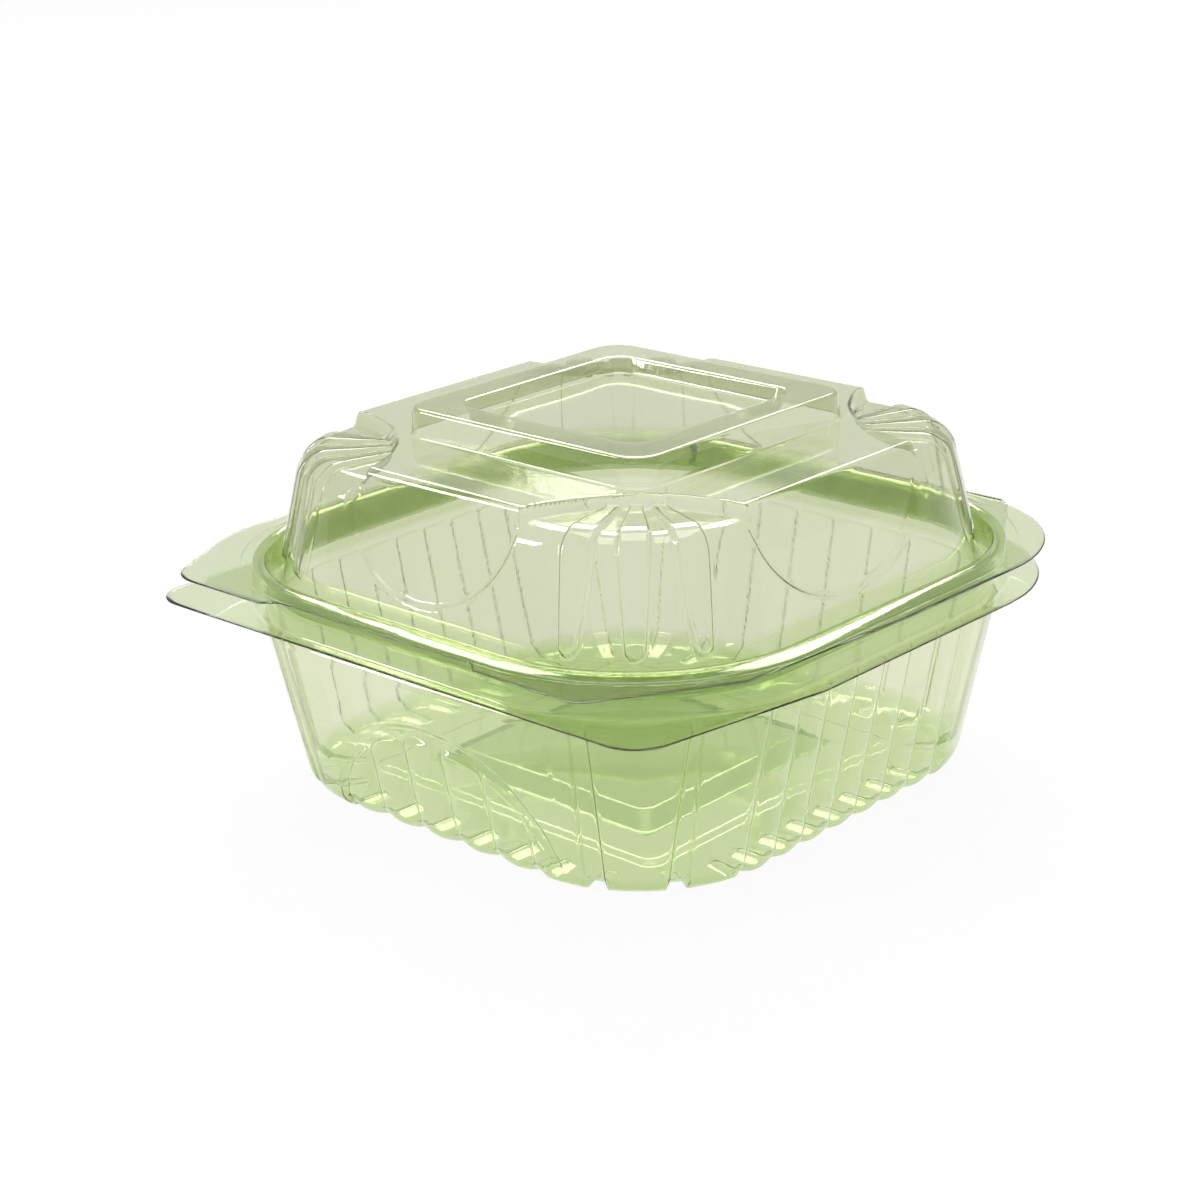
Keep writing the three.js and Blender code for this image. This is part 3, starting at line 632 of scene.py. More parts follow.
@dataclass
class Tub:
    """Ribbed tub: flange with two tabs, bead, wall, front arch and floor."""

    rims: Rims
    finish: ClearSheetFinish
    foot_half: float = 62.0
    brim_half: float = 70.4
    rib_top: float = 39.6
    rib_gap: float = 1.2
    rib_proud: float = 1.2
    side_ribs: tuple[float, int, float] = (9.25, 7, -2.3)
    end_ribs: tuple[float, int, float] = (11.3, 5, -1.2)
    side_ends: tuple[float, float] = (37.6, 36.9)
    end_ends: tuple[float, float] = (37.0, 36.4)
    end_gap: float = 0.4
    plain_gap: float = 0.5
    cell: float = 0.8
    corner_marks: tuple[tuple[float, float, float], ...] = (
        (15.6, 14.2, 1.0), (18.8, 20.1, 1.0), (20.0, 21.3, 0.0), (26.7, 25.2, 0.0), (27.9, 26.4, 1.0),
        (48.6, 54.6, 1.0), (49.9, 55.9, 0.0), (55.9, 58.1, 0.0), (57.1, 59.3, 1.0), (71.5, 72.5, 1.0))
    flank_steps: int = 7
    crease_steps: tuple[float, ...] = (
        0.0, 0.03, 0.07, 0.12, 0.19, 0.28, 0.39, 0.5, 0.61, 0.72, 0.81, 0.88, 0.93, 0.97)
    crease_rise: float = 0.3
    lobe_power: float = 4.0
    sine_limit: float = 0.6
    arch_centre: float = 2.5
    arch_half: float = 33.0
    arch_rise: float = 28.5
    arch_power: float = 2.2
    arch_soft: float = 1.4
    arch_widest: float = 2.4
    arch_low: float = 6.5
    finger_drop: float = 2.6
    finger_round: float = 2.4
    finger_power: float = 1.5
    lowest: float = 3.4
    bead_thick: float = 0.28
    wall_thick: float = 0.21
    foot_round: float = 0.6
    heel_in: float = 1.2
    heel_z: float = 1.3
    heel_lift: float = 1.9
    heel_pull: float = 0.6
    sole_in: float = 2.6
    groove_half: float = 51.0
    groove_fold: float = 1.0
    groove_rise: float = 1.0
    groove_corner: float = 0.3
    floor_fold: float = 42.0
    floor_slope: float = 1.2
    floor_rise: float = 0.9
    panel_foot: float = 32.0
    panel_top: float = 29.0
    panel_rise: float = 4.1
    panel_round: float = 3.2
    outline: Outline = Outline((
        (76.2, -27.0, 0.0), (76.2, 75.8, 38.0), (-76.2, 75.8, 38.0), (-76.2, -45.0, 0.0),
        (-77.5, -75.3, 9.0), (68.5, -75.3, 9.0)))

    def __post_init__(self) -> None:
        """Lays out stations on the walls' lobes and on the corners' ribs."""
        rows: list[tuple[float, ...]] = []
        for wall in Wall:
            rows += [(wall.value, along, np.nan, np.nan, lobe) for along, lobe in self._wall_lobes(wall)]
            marks = list(self.corner_marks)
            if wall.value % 2 == 0:
                marks = [(90 - low, 90 - high, lift) for low, high, lift in marks][::-1]
            for (low_a, high_a, lift_a), (low_b, high_b, lift_b) in zip(marks, marks[1:]):
                count = self.flank_steps if lift_a != lift_b else max(4, round(abs(low_b - low_a)))
                for u in np.arange(count) / count:
                    lift = lerp(lift_a, lift_b, smooth(u, 0.0, 1.0))
                    rows.append((wall.value, np.nan, lerp(low_a, low_b, u), lerp(high_a, high_b, u), lift))
            rows.append((wall.value, np.nan, *marks[-1]))
        table = np.array(rows)
        self.side = table[:, 0].astype(int)
        self.along, self.low, self.high, self.lobe = table[:, 1:].T
        self.on_wall = ~np.isnan(self.along)
        self.on_front = self.on_wall & (self.side == Wall.FRONT.value)

    def _wall_lobes(self, wall: Wall) -> list[tuple[float, float]]:
        """Lays out the lobes of a wall.

        Args:
            wall: The wall.

        Returns:
            Places along it with the height of its lobes there, from 0 to 1.
        """
        across = wall.value % 2 == 1
        pitch, count, shift = self.end_ribs if across else self.side_ribs
        ends = self.end_ends if across else self.side_ends
        if wall in (Wall.BACK, Wall.LEFT):
            shift, ends = -shift, ends[::-1]
        shape = [(u, 1 - abs(2 * u - 1) ** self.lobe_power) for u in self.crease_steps]
        lobes = [((rib + u - count / 2) * pitch + shift, lobe) for rib in range(count) for u, lobe in shape]
        first, last = shift - count / 2 * pitch, shift + count / 2 * pitch
        rise = [(u * pitch, lobe) for u, lobe in shape if u < self.crease_rise]
        before = [(first - u, lobe) for u, lobe in rise[:0:-1] if first - u > self.end_gap - ends[0]]
        after = [(last + u, lobe) for u, lobe in rise if last + u < ends[1] - self.end_gap]
        left = self._plain(-ends[0], before[0][0] - self.plain_gap)
        return left + before + lobes + after + self._plain(after[-1][0] + self.plain_gap, ends[1])

    def _plain(self, start: float, end: float) -> list[tuple[float, float]]:
        """Evenly spread places on a stretch of wall that stands fully proud."""
        count = max(2, round((end - start) / self.cell))
        return [(float(along), 1.0) for along in np.linspace(start, end, count)]

    def _spots(self, half: Number, t: Number) -> Stations:
        """Turns the tub's layout into the stations of a ring.

        Args:
            half: Half width of the ring.
            t: How far up the ribs it is, from 0 to 1.

        Returns:
            The stations.
        """
        middle = self.rims.corner_centre
        along = np.where(self.on_wall, self.along, 0.0)
        measure = np.maximum(half, self.foot_half)
        sine = np.clip((np.abs(along) - middle) / (measure - middle), 0.0, self.sine_limit)
        turn = np.where(self.on_wall, np.sign(along) * np.arcsin(sine),
                        np.radians(lerp(self.low, self.high, t)))
        base = np.where(self.on_wall, np.clip(along, -middle, middle), middle)
        return Stations(self.side, base, turn, np.zeros_like(turn))

    def _ring(self, half: Number, z: Number, t: Number = 1.0, push: Number = 0.0) -> Array:
        """One row of the sheet on the tub's rounded square."""
        return level(self._spots(half, t).place(half, self.rims.corner_centre, push), z)

    def _square(self, half: float, z: float) -> Array:
        """Makes a row on a small-cornered square of the floor, its stations spread evenly.

        Args:
            half: Half width of the square.
            z: Its height.

        Returns:
            One point for each station.
        """
        middle, centre, radius = self.rims.corner_centre, half - self.panel_round, self.panel_round
        foot, quarter = self._spots(self.foot_half, 0.0), math.pi / 2
        scale = (centre + radius * quarter / 2) / (middle + (self.foot_half - middle) * quarter / 2)
        place = (foot.base + (self.foot_half - middle) * foot.turn) * scale
        turn = np.clip((np.abs(place) - centre) / radius, 0.0, quarter) * np.sign(place)
        after = np.maximum(place - centre - radius * quarter, 0.0)
        spots = Stations(self.side, np.clip(place, -centre, centre), turn, after)
        return level(spots.place(half, centre), z)

    def _arch(self) -> Array:
        """Finds the shape of the arch's edge.

        Returns:
            Its height at each station, and 0 away from the front.
        """
        along = np.where(self.on_front, self.along, 1e3)
        share = np.clip(np.abs(along - self.arch_centre) / self.arch_half, 0, 1)
        return self.arch_rise * np.sqrt(1 - share**self.arch_power)

    def _wall_rows(self, sheet: Meridians) -> Array:
        """Adds the ribbed wall, whose rows follow the arch on the front.

        Args:
            sheet: The sheet that the rows go into.

        Returns:
            The height of the lobes at the wall's foot at each station, from 0 to 1.
        """
        arch = np.maximum(self._arch(), self.arch_low)
        under = self.on_front & (arch > self.arch_low)
        # Where the arch's edge is steep, its step keeps its width across the edge.
        along = np.where(self.on_front, self.along, np.arange(len(arch)) + 1e3)
        steep = np.hypot(1.0, np.gradient(arch, along))
        soft = self.arch_soft * np.clip(steep, 1.0, self.arch_widest)
        step = arch - soft / 2
        finger = step - self.finger_drop - self.finger_round * (1 - self.lobe) ** self.finger_power
        finger = np.maximum(finger, lerp(self.lowest, step, 0.5))
        tip = np.minimum(0.5, 0.2 * (step - self.lowest))
        # Share of the ribs' height, height on the front, lobe under the arch, rounding, steps.
        marks = (
            (1.0, self.rib_top, 1.0, 1.2, 3),
            (0.73, arch + soft, 1.0, 0.8, 3),
            (0.68, arch + soft / 2, 1.0, 0.35, 2),
            (0.62, step, 0.0, 0.35, 2),
            (0.56, finger + tip, 0.0, 0.4, 2),
            (0.50, finger - tip, None, 0.5, 2),
            (0.30, lerp(self.lowest, finger - tip, 0.5), None, 0.0, 1),
            (self.lowest / self.rib_top, self.lowest, None, 1.0, 3),
        )
        foot = np.where(self.on_front & ~under, 1.0, self.lobe)
        for share, front_z, front_lift, radius, steps in marks:
            z = np.where(self.on_front, front_z, share * self.rib_top)
            lift = foot if front_lift is None else np.where(under, front_lift, foot)
            half = lerp(self.foot_half, self.brim_half, z / self.rib_top) - self.rib_proud
            sheet.add(self._ring(half, z, z / self.rib_top, lift * self.rib_proud), radius, steps)
        return foot

    def _floor_rows(self, sheet: Meridians, foot: Array) -> None:
        """Adds the heel, the grooves that run in from the creases, and the floor.

        Args:
            sheet: The sheet that the rows go into.
            foot: The height of the lobes at the wall's foot, from 0 to 1.
        """
        floor = self.rims.sheet / 2
        lift = 1 - (1 - foot) ** self.foot_round
        groove = np.where(self.on_wall, self.groove_rise, self.groove_corner * self.groove_rise)
        for half, z, push, *fold in (
                (self.foot_half - self.heel_in, self.heel_z + (1 - lift) * self.heel_lift,
                 lift * self.rib_proud - self.heel_pull, 1.2, 4),
                (self.foot_half - self.sole_in, floor + (1 - lift) * self.groove_rise,
                 (lift - 1) * self.rib_proud, 1.0, 3),
                (self.groove_half + self.groove_fold, floor + (1 - foot) * groove, 0.0, 0.6, 3),
                (self.groove_half, floor, 0.0, 0.5, 3)):
            sheet.add(self._ring(half, z, 0.0, push), *fold)
        for half, rise, *fold in (
                (self.floor_fold + self.floor_slope, 0.0, 0.6, 3),
                (self.floor_fold, self.floor_rise, 0.6, 3),
                (self.panel_foot, self.floor_rise, 0.7, 4),
                (self.panel_top, self.panel_rise, 0.8, 4),
                (self.panel_top * INNER_SHARE, self.panel_rise)):
            sheet.add(self._square(half, floor + rise), *fold)

    def grid(self) -> Array:
        """Lays out the middle surface of the tub.

        Returns:
            Its rows, from the flange's cut edge to the floor's middle.
        """
        rims, sheet = self.rims, Meridians()
        outer, inner, z = rims.bead_outer, rims.bead_outer - rims.bead_width, rims.tub_flange_z
        bead = self._spots(outer, 1.0)
        edge = self.outline.reach(bead.place(outer, rims.corner_centre), bead.normals())
        sheet.flange(level(edge, z), self._ring(outer + rims.fold, z), rims)
        for half, at, *fold in (
                (outer, z, 0.9, 5),
                (outer - rims.fold, rims.bead_top, 0.7, 5, self.bead_thick),
                (inner, rims.bead_top, 0.6, 4),
                (inner - rims.bead_slope, rims.bead_top - rims.bead_drop, 0.6, 3),
                (self.brim_half - self.rib_proud, self.rib_top + self.rib_gap, 0.6, 3, self.wall_thick)):
            sheet.add(self._ring(half, at), *fold)
        self._floor_rows(sheet, self._wall_rows(sheet))
        return sheet.grid()

    def build(self, builder: SheetBuilder) -> bpy.types.Object:
        """Makes the tub, dresses it and puts it on its body.

        Args:
            builder: Makes the mesh.

        Returns:
            The tub's object.
        """
        made = builder.build("tub_sheet", self.grid())
        made.data.materials.append(self.finish.material())
        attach(made, Body.TUB.value)
        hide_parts("tub")
        return made


@dataclass
class Lid:
    """Domed lid: flange with two tabs, brim, plug, trough, dome and raised square ring."""

    rims: Rims
    finish: ClearSheetFinish
    brim_outer: float = 75.0
    brim_inner: float = 71.2
    brim_soft: float = 0.4
    plug_taper: float = 0.5
    trough_depth: float = 5.7
    trough_width: float = 2.0
    shoulder_z: float = 78.9
    shoulder_half: float = 56.9
    shoulder_soft: float = 1.3
    straights: tuple[float, float] = (28.5, 22.8)
    moon_halves: tuple[float, float] = (28.5, 25.2)
    moon_shifts: tuple[float, float] = (-1.0, -2.0)
    moon_drop: float = 24.2
    moon_depth: float = 1.3
    moon_ramp: float = 1.0
    scoop_radius: float = 36.8
    scoop_drop: float = 2.8
    scoop_ramp: float = 1.3
    steep: float = 70.0
    terrace_soft: float = 6.0
    fan_turn: float = 5.0
    rib_proud: float = 1.2
    rib_bottom: float = 52.6
    rib_end: float = 2.2
    rib_soft: float = 0.5
    rib_flank: tuple[float, float] = (1.1, 0.25)
    rib_fade: float = 0.4
    rib_spread: float = 21.7
    rib_angle: tuple[float, float] = (3.1, 6.9)
    rib_marks: tuple[float, ...] = (0.35, 0.7, 0.85, 0.95, 1.05, 1.15, 1.3)
    block_foot: float = 35.4
    block_top: float = 34.9
    block_rise: float = 6.8
    recess_half: float = 26.4
    recess_taper: float = 0.8
    recess_depth: float = 3.7
    recess_round: float = 5.0
    plug_thick: float = 0.26
    dome_thick: float = 0.2
    cell: float = 0.42
    corner_cell: float = 0.8
    outline: Outline = Outline((
        (74.5, -49.0, 0.0), (77.5, 0.0, 0.0), (77.5, 75.8, 38.0), (-77.5, 75.8, 38.0),
        (-77.5, -50.0, 30.0), (-64.2, -78.3, 10.0), (-35.5, -78.3, 1.5), (-32.0, -75.3, 1.5),
        (25.0, -75.3, 1.5), (28.5, -78.3, 1.5), (56.0, -78.3, 5.0)))

    def __post_init__(self) -> None:
        """Lays out stations evenly on the walls and along the fanned ribs in the corners."""
        centre = self.rims.corner_centre
        flat = np.linspace(-centre, centre, round(2 * centre / self.cell) + 1)[:-1]
        rows: list[tuple[float, ...]] = []
        for wall in Wall:
            rows += [(wall.value, base, 0.0, 0.0, OFF_RIB) for base in flat]
            turn = -self.fan_turn if wall.value % 2 else self.fan_turn
            rows += [(wall.value, centre, *mark) for mark in self._fan(45.0 + turn)]
        table = np.array(rows)
        self.side = table[:, 0].astype(int)
        self.base, self.low, self.high, self.edge = table[:, 1:].T

    def _fan(self, middle: float) -> list[tuple[float, float, float]]:
        """Stations of a corner.

        Args:
            middle: Angle of the middle rib, in degrees.

        Returns:
            For each station its angle at the ribs' lower ends, its angle at their upper
            ends, and its place across a rib, which is OFF_RIB away from the ribs.
        """
        flank = [*(-mark for mark in reversed(self.rib_marks)), 0.0, *self.rib_marks]
        low, high = self.rib_angle
        marks = [(0.0, 0.0, OFF_RIB)]
        for rib in (-1, 0, 1):
            at = middle + rib * self.rib_spread
            ribs = [(at + edge * low, at + edge * high, edge) for edge in flank]
            marks += self._between(marks[-1], ribs[0]) + ribs
        return marks + self._between(marks[-1], (90.0, 90.0, OFF_RIB))

    def _between(self, a: tuple[float, ...], b: tuple[float, ...]) -> list[tuple[float, float, float]]:
        """Evenly spread stations between two others, without them."""
        count = max(3, round(max(b[0] - a[0], b[1] - a[1]) / self.corner_cell))
        return [(lerp(a[0], b[0], u), lerp(a[1], b[1], u), OFF_RIB) for u in np.arange(1, count) / count]

    def _spots(self, z: Number, centre: float | None = None) -> Stations:
        """Turns the lid's layout into the stations at one height.

        Args:
            z: The height.
            centre: What the corners turn about, if it isn't the rims' corner centre.

        Returns:
            The stations.
        """
        middle = self.rims.corner_centre
        rise = np.clip((z - self.rib_bottom) / (self.shoulder_z - self.rib_bottom), 0.0, 1.0)
        turn = np.radians(lerp(self.low, self.high, rise))
        base = self.base * (middle if centre is None else centre) / middle
        return Stations(self.side, base, turn, np.zeros_like(turn))

    def _ring(self, half: Number, z: Number) -> Array:
        """One row of the sheet on the lid's rounded square."""
        return level(self._spots(z).place(half, self.rims.corner_centre), z)

    def _square(self, half: float, z: float) -> Array:
        """One row on a small-cornered square inside the raised ring."""
        centre = half - self.recess_round
        return level(self._spots(self.shoulder_z, centre).place(half, centre), z)

    def _profiles(self, foot: float, bottom: float) -> Array:
        """Upright sections of the dome through a corner and through a sunk half moon.

        Args:
            foot: Half width of the dome at the trough.
            bottom: Height of the trough.

        Returns:
            Rows with the corner's distance from the turning centre and its height, the
            half moon's, and the corner's slope in radians, up to a right angle on the terrace.
        """
        centre, top = self.rims.corner_centre, self.shoulder_half + self.moon_depth
        lean = (foot - top) / (self.shoulder_z - bottom)
        tilt, soft = math.atan(lean), self.terrace_soft
        terrace = self.shoulder_z - self.scoop_drop
        pivot_z = terrace - soft
        pivot = foot - centre - lean * (pivot_z - bottom) - soft / math.cos(tilt)
        sunk = self.moon_depth * math.cos(tilt)
        rows: list[tuple[float, ...]] = []
        first, last = bottom + 1.0, pivot_z + soft * math.sin(tilt)
        for z in np.linspace(first, last, round((last - first) / self.cell)):
            out = foot - centre - lean * (z - bottom)
            rows.append((out, z, out - sunk * math.cos(tilt), z - sunk * math.sin(tilt), tilt))
        angles, lengths = self._shoulder(np.array([pivot, pivot_z]), lean)
        # The steps are finer where the scoop's edge crosses the bend.
        fine = [np.linspace(tilt, math.radians(62), 10)[1:], np.radians(np.linspace(63.5, 81, 17)),
                np.radians(np.linspace(83, 90, 4))]
        for angle in np.concatenate(fine):
            c, s, reach = math.cos(angle), math.sin(angle), float(np.interp(angle, angles, lengths))
            rows.append((pivot + soft * c, pivot_z + soft * s,
                         pivot + reach * c, pivot_z + reach * s, angle))
        inner = self.block_foot - centre + 0.9
        for out in np.linspace(pivot, inner, round((pivot - inner) / self.cell))[1:]:
            rows.append((out, terrace, out, self.shoulder_z, math.pi / 2))
        return np.array(rows)

    def _shoulder(self, pivot: Array, lean: float) -> tuple[Array, Array]:
        """The panel's rounded shoulder as seen from the bend's middle.

        Args:
            pivot: The middle of the bend, as distance and height.
            lean: How far the wall leans in for each millimetre of height.

        Returns:
            The angles of its points in radians, and their distances.
        """
        edge = np.array([self.shoulder_half - self.rims.corner_centre, self.shoulder_z])
        down = np.array([lean, -1.0])
        below = edge + down * self.shoulder_soft
        within = edge - np.array([self.shoulder_soft, 0.0])
        bend = [below * (1 - t) ** 2 + edge * 2 * t * (1 - t) + within * t**2
                for t in np.linspace(0, 1, 12)]
        panel = [edge + down * 12.0, *bend, np.array([pivot[0] - 1.0, self.shoulder_z])]
        dense = np.concatenate([np.linspace(a, b, 40) for a, b in zip(panel, panel[1:])])
        away = dense - pivot
        return np.arctan2(away[:, 1], away[:, 0]), np.hypot(away[:, 0], away[:, 1])

    def _scoop(self) -> Array:
        """Finds the arc of the scoop whose corner has x and y above zero.

        Returns:
            The arc's centre.
        """
        start = np.array([self.shoulder_half, self.straights[0]])
        end = np.array([self.straights[1], self.shoulder_half])
        chord = end - start
        half = float(np.linalg.norm(chord)) / 2
        outward = np.array([chord[1], -chord[0]]) / (2 * half)
        return (start + end) / 2 + outward * math.sqrt(self.scoop_radius**2 - half**2)

    def _moon(self, side: Array, along: Array, z: float) -> Array:
        """Measures how far points of the wall are inside a side's half moon.

        Args:
            side: The side of each point.
            along: Its place along that side.
            z: The height of the points.

        Returns:
            The distances in millimetres, below zero outside.
        """
        across = side % 2 == 1
        half = np.where(across, self.moon_halves[1], self.moon_halves[0])
        shift = np.where(across, self.moon_shifts[1], self.moon_shifts[0])
        shift = np.where((side == Wall.BACK.value) | (side == Wall.LEFT.value), -shift, shift)
        a, b = (along - shift) / half, max(self.shoulder_z - z, 0.0) / self.moon_drop
        slope = 2 * np.hypot(a / half, b / self.moon_drop)
        return (1 - a**2 - b**2) / np.maximum(slope, 1e-3)

    def _rib(self, z: float) -> Array:
        """Finds the shape of the fanned ribs at one height.

        Args:
            z: The height.

        Returns:
            How far each station stands proud, from 0 to 1.
        """
        edge, (outer, width) = np.abs(self.edge), self.rib_flank
        across = np.clip((outer - edge) / width, 0.0, 1.0)
        arc = np.sqrt(np.clip(1 - np.minimum(edge, 1.0) ** 2, 0, 1))
        end = self.rib_bottom + self.rib_end * (1 - arc)
        return across * smooth(z, end - self.rib_soft, end + self.rib_soft)

    def _dome(self, sheet: Meridians, foot: float, bottom: float) -> None:
        """Adds the dome: scooped, ribbed corners, half moons and the plateau between.

        Args:
            sheet: The sheet that the rows go into.
            foot: Half width of the dome at the trough.
            bottom: Height of the trough.
        """
        middle, scoop = self.rims.corner_centre, self._scoop()
        profiles = self._profiles(foot, bottom)
        flat_from = profiles[profiles[:, 4] >= math.pi / 2][0, 0]
        for out, z, sunk_out, sunk_z, tilt in profiles:
            spots = self._spots(z)
            place = spots.place(middle + out, middle)
            inside = self._moon(self.side, spots.base + out * np.sin(spots.turn), z)
            turned = self._moon((self.side + 1) % 4, -(middle + out * np.cos(spots.turn)), z)
            inside = np.where(self.base >= middle, np.maximum(inside, turned), inside)
            beyond = np.hypot(*(np.abs(place) - scoop).T) - self.scoop_radius
            top = float(smooth(tilt, profiles[0, 4], math.radians(self.steep)))
            ramp = lerp(self.moon_ramp, self.scoop_ramp, top)
            mask = np.clip(0.5 + lerp(inside, beyond, top) / ramp, 0.0, 1.0)[:, None]
            push = self._rib(z) * self.rib_proud * min(1.0, lerp(self.rib_fade, 1.0, out / flat_from))
            corner = level(spots.place(middle + out, middle, push * math.cos(tilt)),
                           z + push * math.sin(tilt))
            panel = level(spots.place(middle + sunk_out, middle), sunk_z)
            sheet.add(lerp(corner, panel, mask))

    def grid(self) -> Array:
        """Lays out the middle surface of the lid.

        Returns:
            Its rows, from the flange's cut edge to the recess's middle.
        """
        rims, sheet = self.rims, Meridians()
        z, plug, bend = rims.lid_flange_z, rims.plug_half, rims.fold
        trough_z = z - self.trough_depth
        trough = plug - self.plug_taper - bend
        foot = trough - self.trough_width
        brim = self._spots(z)
        edge = self.outline.reach(brim.place(self.brim_outer, rims.corner_centre), brim.normals())
        sheet.flange(level(edge, z), self._ring(self.brim_outer, z), rims)
        for half, at, *fold in (
                (self.brim_outer, z, 0.3, 3, self.plug_thick),
                (self.brim_outer - self.brim_soft, z + self.brim_soft, 0.3, 3),
                (self.brim_inner, z + rims.brim_rise, 0.6, 4),
                (plug + bend, z + rims.brim_rise - self.brim_soft, 0.7, 4),
                (plug, z - bend, 0.8, 3),
                (trough, trough_z, 0.65, 5),
                (foot + bend, trough_z, 0.5, 3, self.dome_thick)):
            sheet.add(self._ring(half, at), *fold)
        self._dome(sheet, foot, trough_z)

        block_z = self.shoulder_z + self.block_rise - rims.sheet / 2
        recess_z = block_z - self.recess_depth
        sheet.add(self._ring(self.block_foot, self.shoulder_z), 0.8, 4)
        sheet.add(self._ring(self.block_top, block_z), 0.9, 6)
        sheet.add(self._square(self.recess_half, block_z), 0.7, 4)
        sheet.add(self._square(self.recess_half - self.recess_taper, recess_z), 0.7, 4)
        sheet.add(self._square(self.recess_half * INNER_SHARE, recess_z))
        return sheet.grid()

    def build(self, builder: SheetBuilder) -> bpy.types.Object:
        """Makes the lid, dresses it and puts it on its body.

        Args:
            builder: Makes the mesh.

        Returns:
            The lid's object.
        """
        made = builder.build("lid_sheet", self.grid())
        made.data.materials.append(self.finish.material())
        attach(made, Body.LID.value)
        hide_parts("lid")
        return made


@dataclass
class Fold:
    """Bent strip at the back that joins the tub's flange to the lid's."""

    rims: Rims
    finish: ClearSheetFinish
    length: float = 96.0
    reach: float = 78.0
    gap: float = 0.15
    thick: float = 0.26
    bulge_power: float = 0.7
    steps: int = 24
    stations: int = 48

    def build(self, builder: SheetBuilder) -> bpy.types.Object:
        """Makes the strip between the two flanges, in place, and hides the hinge leaves.

        Args:
            builder: Makes the mesh.

        Returns:
            The strip's object.
        """
        low, high = self.rims.tub_flange_z, self.rims.lid_flange_z
        start, mid = self.rims.flange_back + self.gap, (low + high) / 2
        turns = np.linspace(-math.pi / 2, math.pi / 2, self.steps + 1)[1:-1]
        section = [(start + (self.reach - start) * math.cos(turn) ** self.bulge_power,
                    mid + (high - low) / 2 * math.sin(turn)) for turn in turns]
        section = [(start, low), *section, (start, high)]
        across = np.linspace(self.length / 2, -self.length / 2, self.stations)
        grid = np.array([[(x, y, z, self.thick) for x in across] for y, z in section])
        made = builder.build("fold_strip", grid, closed=False)
        made.data.materials.append(self.finish.material())
        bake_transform(made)
        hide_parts("tub_hinge_leaf", "lid_hinge_leaf")
        return made


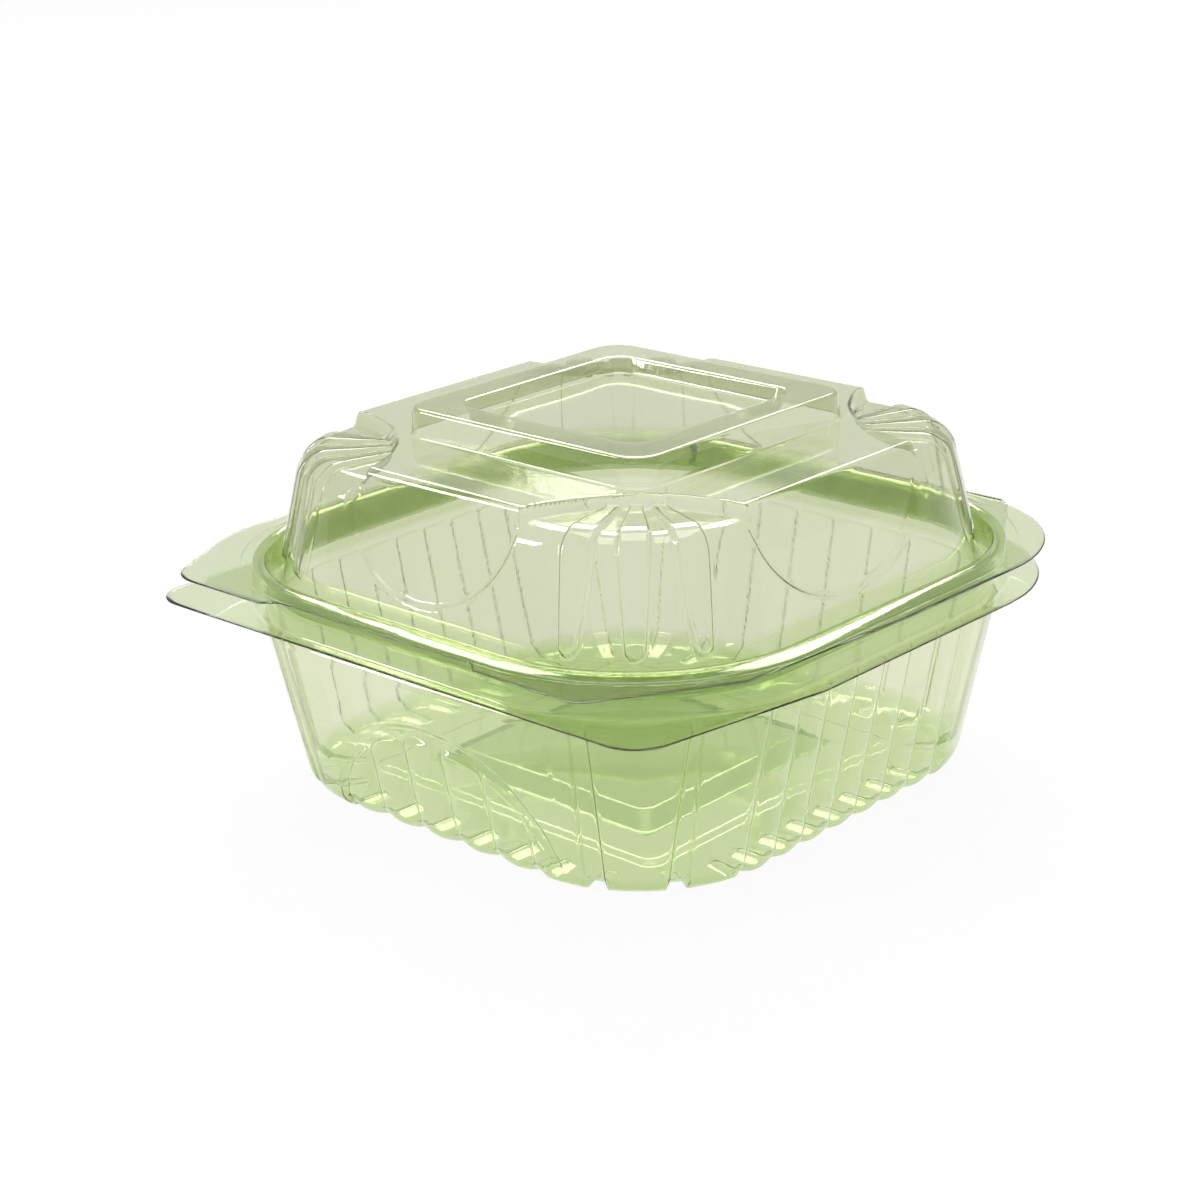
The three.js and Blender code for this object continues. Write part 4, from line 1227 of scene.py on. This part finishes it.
@dataclass(frozen=True)
class Studio:
    """White room, soft lamps and the camera of a product photograph."""

    azimuth: float = 42.87
    elevation: float = 19.80
    distance: float = 589.64
    lens: float = 79.13
    roll: float = -1.68
    target: tuple[float, float, float] = (-1.88, -8.19, 40.0)
    floor_size: float = 6.0
    floor_grey: float = 0.9
    floor_roughness: float = 0.9
    floor_keep: float = 0.06
    world_seen: float = 1.0
    world_reflected: float = 0.6

    def camera(self) -> None:
        """Makes the camera."""
        data = bpy.data.cameras.new("camera")
        data.lens, data.sensor_width = self.lens, 36.0
        data.clip_start, data.clip_end = 0.01, 50.0
        made = bpy.data.objects.new("camera", data)
        bpy.context.scene.collection.objects.link(made)
        a, e = math.radians(self.azimuth), math.radians(self.elevation)
        back = Vector((math.sin(a) * math.cos(e), -math.cos(a) * math.cos(e), math.sin(e)))
        turn = (-back).to_track_quat("-Z", "Y").to_matrix().to_4x4()
        place = Matrix.Translation((Vector(self.target) + back * self.distance) * MM)
        made.matrix_world = place @ turn @ Matrix.Rotation(math.radians(self.roll), 4, "Z")
        bpy.context.scene.camera = made

    def floor(self) -> None:
        """Makes a pale floor that the camera and clear pieces see as white."""
        mesh = bpy.data.meshes.new("floor")
        s = self.floor_size / 2
        mesh.from_pydata([(-s, -s, 0), (s, -s, 0), (s, s, 0), (-s, s, 0)], [], [(0, 1, 2, 3)])
        made = bpy.data.objects.new("floor", mesh)
        bpy.context.scene.collection.objects.link(made)
        material = bpy.data.materials.new("pale_floor")
        material.use_nodes = True
        tree = material.node_tree
        shader, out = tree.nodes["Principled BSDF"], tree.nodes["Material Output"]
        shader.inputs["Base Color"].default_value = (*(self.floor_grey,) * 3, 1.0)
        shader.inputs["Roughness"].default_value = self.floor_roughness
        glow, both = tree.nodes.new("ShaderNodeEmission"), tree.nodes.new("ShaderNodeMixShader")
        seen = self._seen(tree, "Is Camera Ray", "Is Transmission Ray", "Is Glossy Ray")
        tree.links.new(reckon(tree, "MULTIPLY", seen, 1.0 - self.floor_keep), both.inputs["Fac"])
        tree.links.new(shader.outputs["BSDF"], both.inputs[1])
        tree.links.new(glow.outputs["Emission"], both.inputs[2])
        tree.links.new(both.outputs["Shader"], out.inputs["Surface"])
        made.data.materials.append(material)

    @staticmethod
    def _seen(tree: bpy.types.NodeTree, *kinds: str) -> Socket:
        """Tells rays of some kinds from all others.

        Args:
            tree: Tree that the nodes go into.
            kinds: The kinds of rays, as the Light Path node names them.

        Returns:
            A socket that is 1 for these rays and 0 for others.
        """
        path = tree.nodes.new("ShaderNodeLightPath")
        seen = path.outputs[kinds[0]]
        for kind in kinds[1:]:
            seen = reckon(tree, "MAXIMUM", seen, path.outputs[kind])
        return seen

    def world(self) -> None:
        """Lights the room softly and shows it white to the camera."""
        world = bpy.data.worlds.new("room")
        world.use_nodes = True
        tree = world.node_tree
        shader, strength = tree.nodes["Background"], tree.nodes.new("ShaderNodeMapRange")
        shader.inputs["Color"].default_value = (*WHITE, 1.0)
        strength.inputs["To Min"].default_value = self.world_reflected
        strength.inputs["To Max"].default_value = self.world_seen
        seen = self._seen(tree, "Is Camera Ray", "Is Transmission Ray")
        tree.links.new(seen, strength.inputs["Value"])
        tree.links.new(strength.outputs["Result"], shader.inputs["Strength"])
        bpy.context.scene.world = world

    @staticmethod
    def lamp(name: str, place: tuple[float, float, float], size: tuple[float, float], power: float) -> None:
        """Makes a soft rectangular lamp aimed at the container.

        Args:
            name: Name of the lamp.
            place: Where it hangs, in metres.
            size: Width and height of its face, in metres.
            power: Power in watts.
        """
        data = bpy.data.lights.new(name, "AREA")
        data.shape, data.size, data.size_y = "RECTANGLE", *size
        data.energy = power
        made = bpy.data.objects.new(name, data)
        made.location = place
        aim = Vector((0.0, 0.0, 0.05)) - Vector(place)
        made.rotation_euler = aim.to_track_quat("-Z", "Y").to_euler()
        bpy.context.scene.collection.objects.link(made)

    def build(self) -> None:
        """Makes the whole studio."""
        self.camera()
        self.floor()
        self.world()
        self.lamp("rear_window", (-0.65, 0.72, 0.92), (0.9, 0.5), 11.0)
        self.lamp("overhead", (-0.1, 0.1, 1.3), (0.9, 0.7), 5.0)
        self.lamp("left_window", (-0.83, -0.85, 0.52), (0.10, 0.6), 4.0)
        scene = bpy.context.scene
        scene.view_settings.view_transform = "Standard"
        scene.cycles.max_bounces = 40
        scene.cycles.transmission_bounces = 36
        scene.cycles.glossy_bounces = 8
        scene.cycles.transparent_max_bounces = 16
        scene.cycles.caustics_refractive = True


def main() -> None:
    """Builds the container on its frame and the studio round it."""
    logging.basicConfig(level=logging.INFO, format="%(name)s: %(message)s")
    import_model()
    Studio().build()
    rims, builder = Rims(), SheetBuilder()
    # Painted shade: the floor, dome and rim colours darken and green the sheets by height, the tub's panel
    # colour paints darker green shade on its floor square, and the top stays white.
    dome, floor = (0.95, 0.95, 0.94), (0.76, 0.87, 0.60)
    painted_tub_rim_shade, painted_lid_rim_shade = (0.84, 0.90, 0.76), (0.88, 0.93, 0.80)
    deep = ClearSheetFinish(
        "clear_tub_sheet", thick_tint=(0.92, 0.91, 0.905), thin_tint=(0.89, 0.88, 0.875),
        painted_shade_bands=((0.0, floor), (1.4, floor), (4.5, WHITE), (41.5, WHITE), (43.0, painted_tub_rim_shade), (86.0, painted_tub_rim_shade)),
        panel=(0.56, 0.71, 0.38), painted_shade_half=33.0)
    pale = ClearSheetFinish(
        "clear_lid_sheet", thick_tint=(0.87, 0.86, 0.855), thin_tint=(0.83, 0.82, 0.815),
        painted_shade_bands=((0.0, painted_lid_rim_shade), (53.2, painted_lid_rim_shade), (55.0, dome), (77.5, dome), (78.7, WHITE), (86.0, WHITE)))
    hazy = ClearSheetFinish("clear_fold", roughness=0.12)
    for piece in (Tub(rims, deep), Lid(rims, pale), Fold(rims, hazy)):
        made = piece.build(builder)
        LOG.info("%s: %d faces", made.name, len(made.data.polygons))


if __name__ == "__main__":
    main()
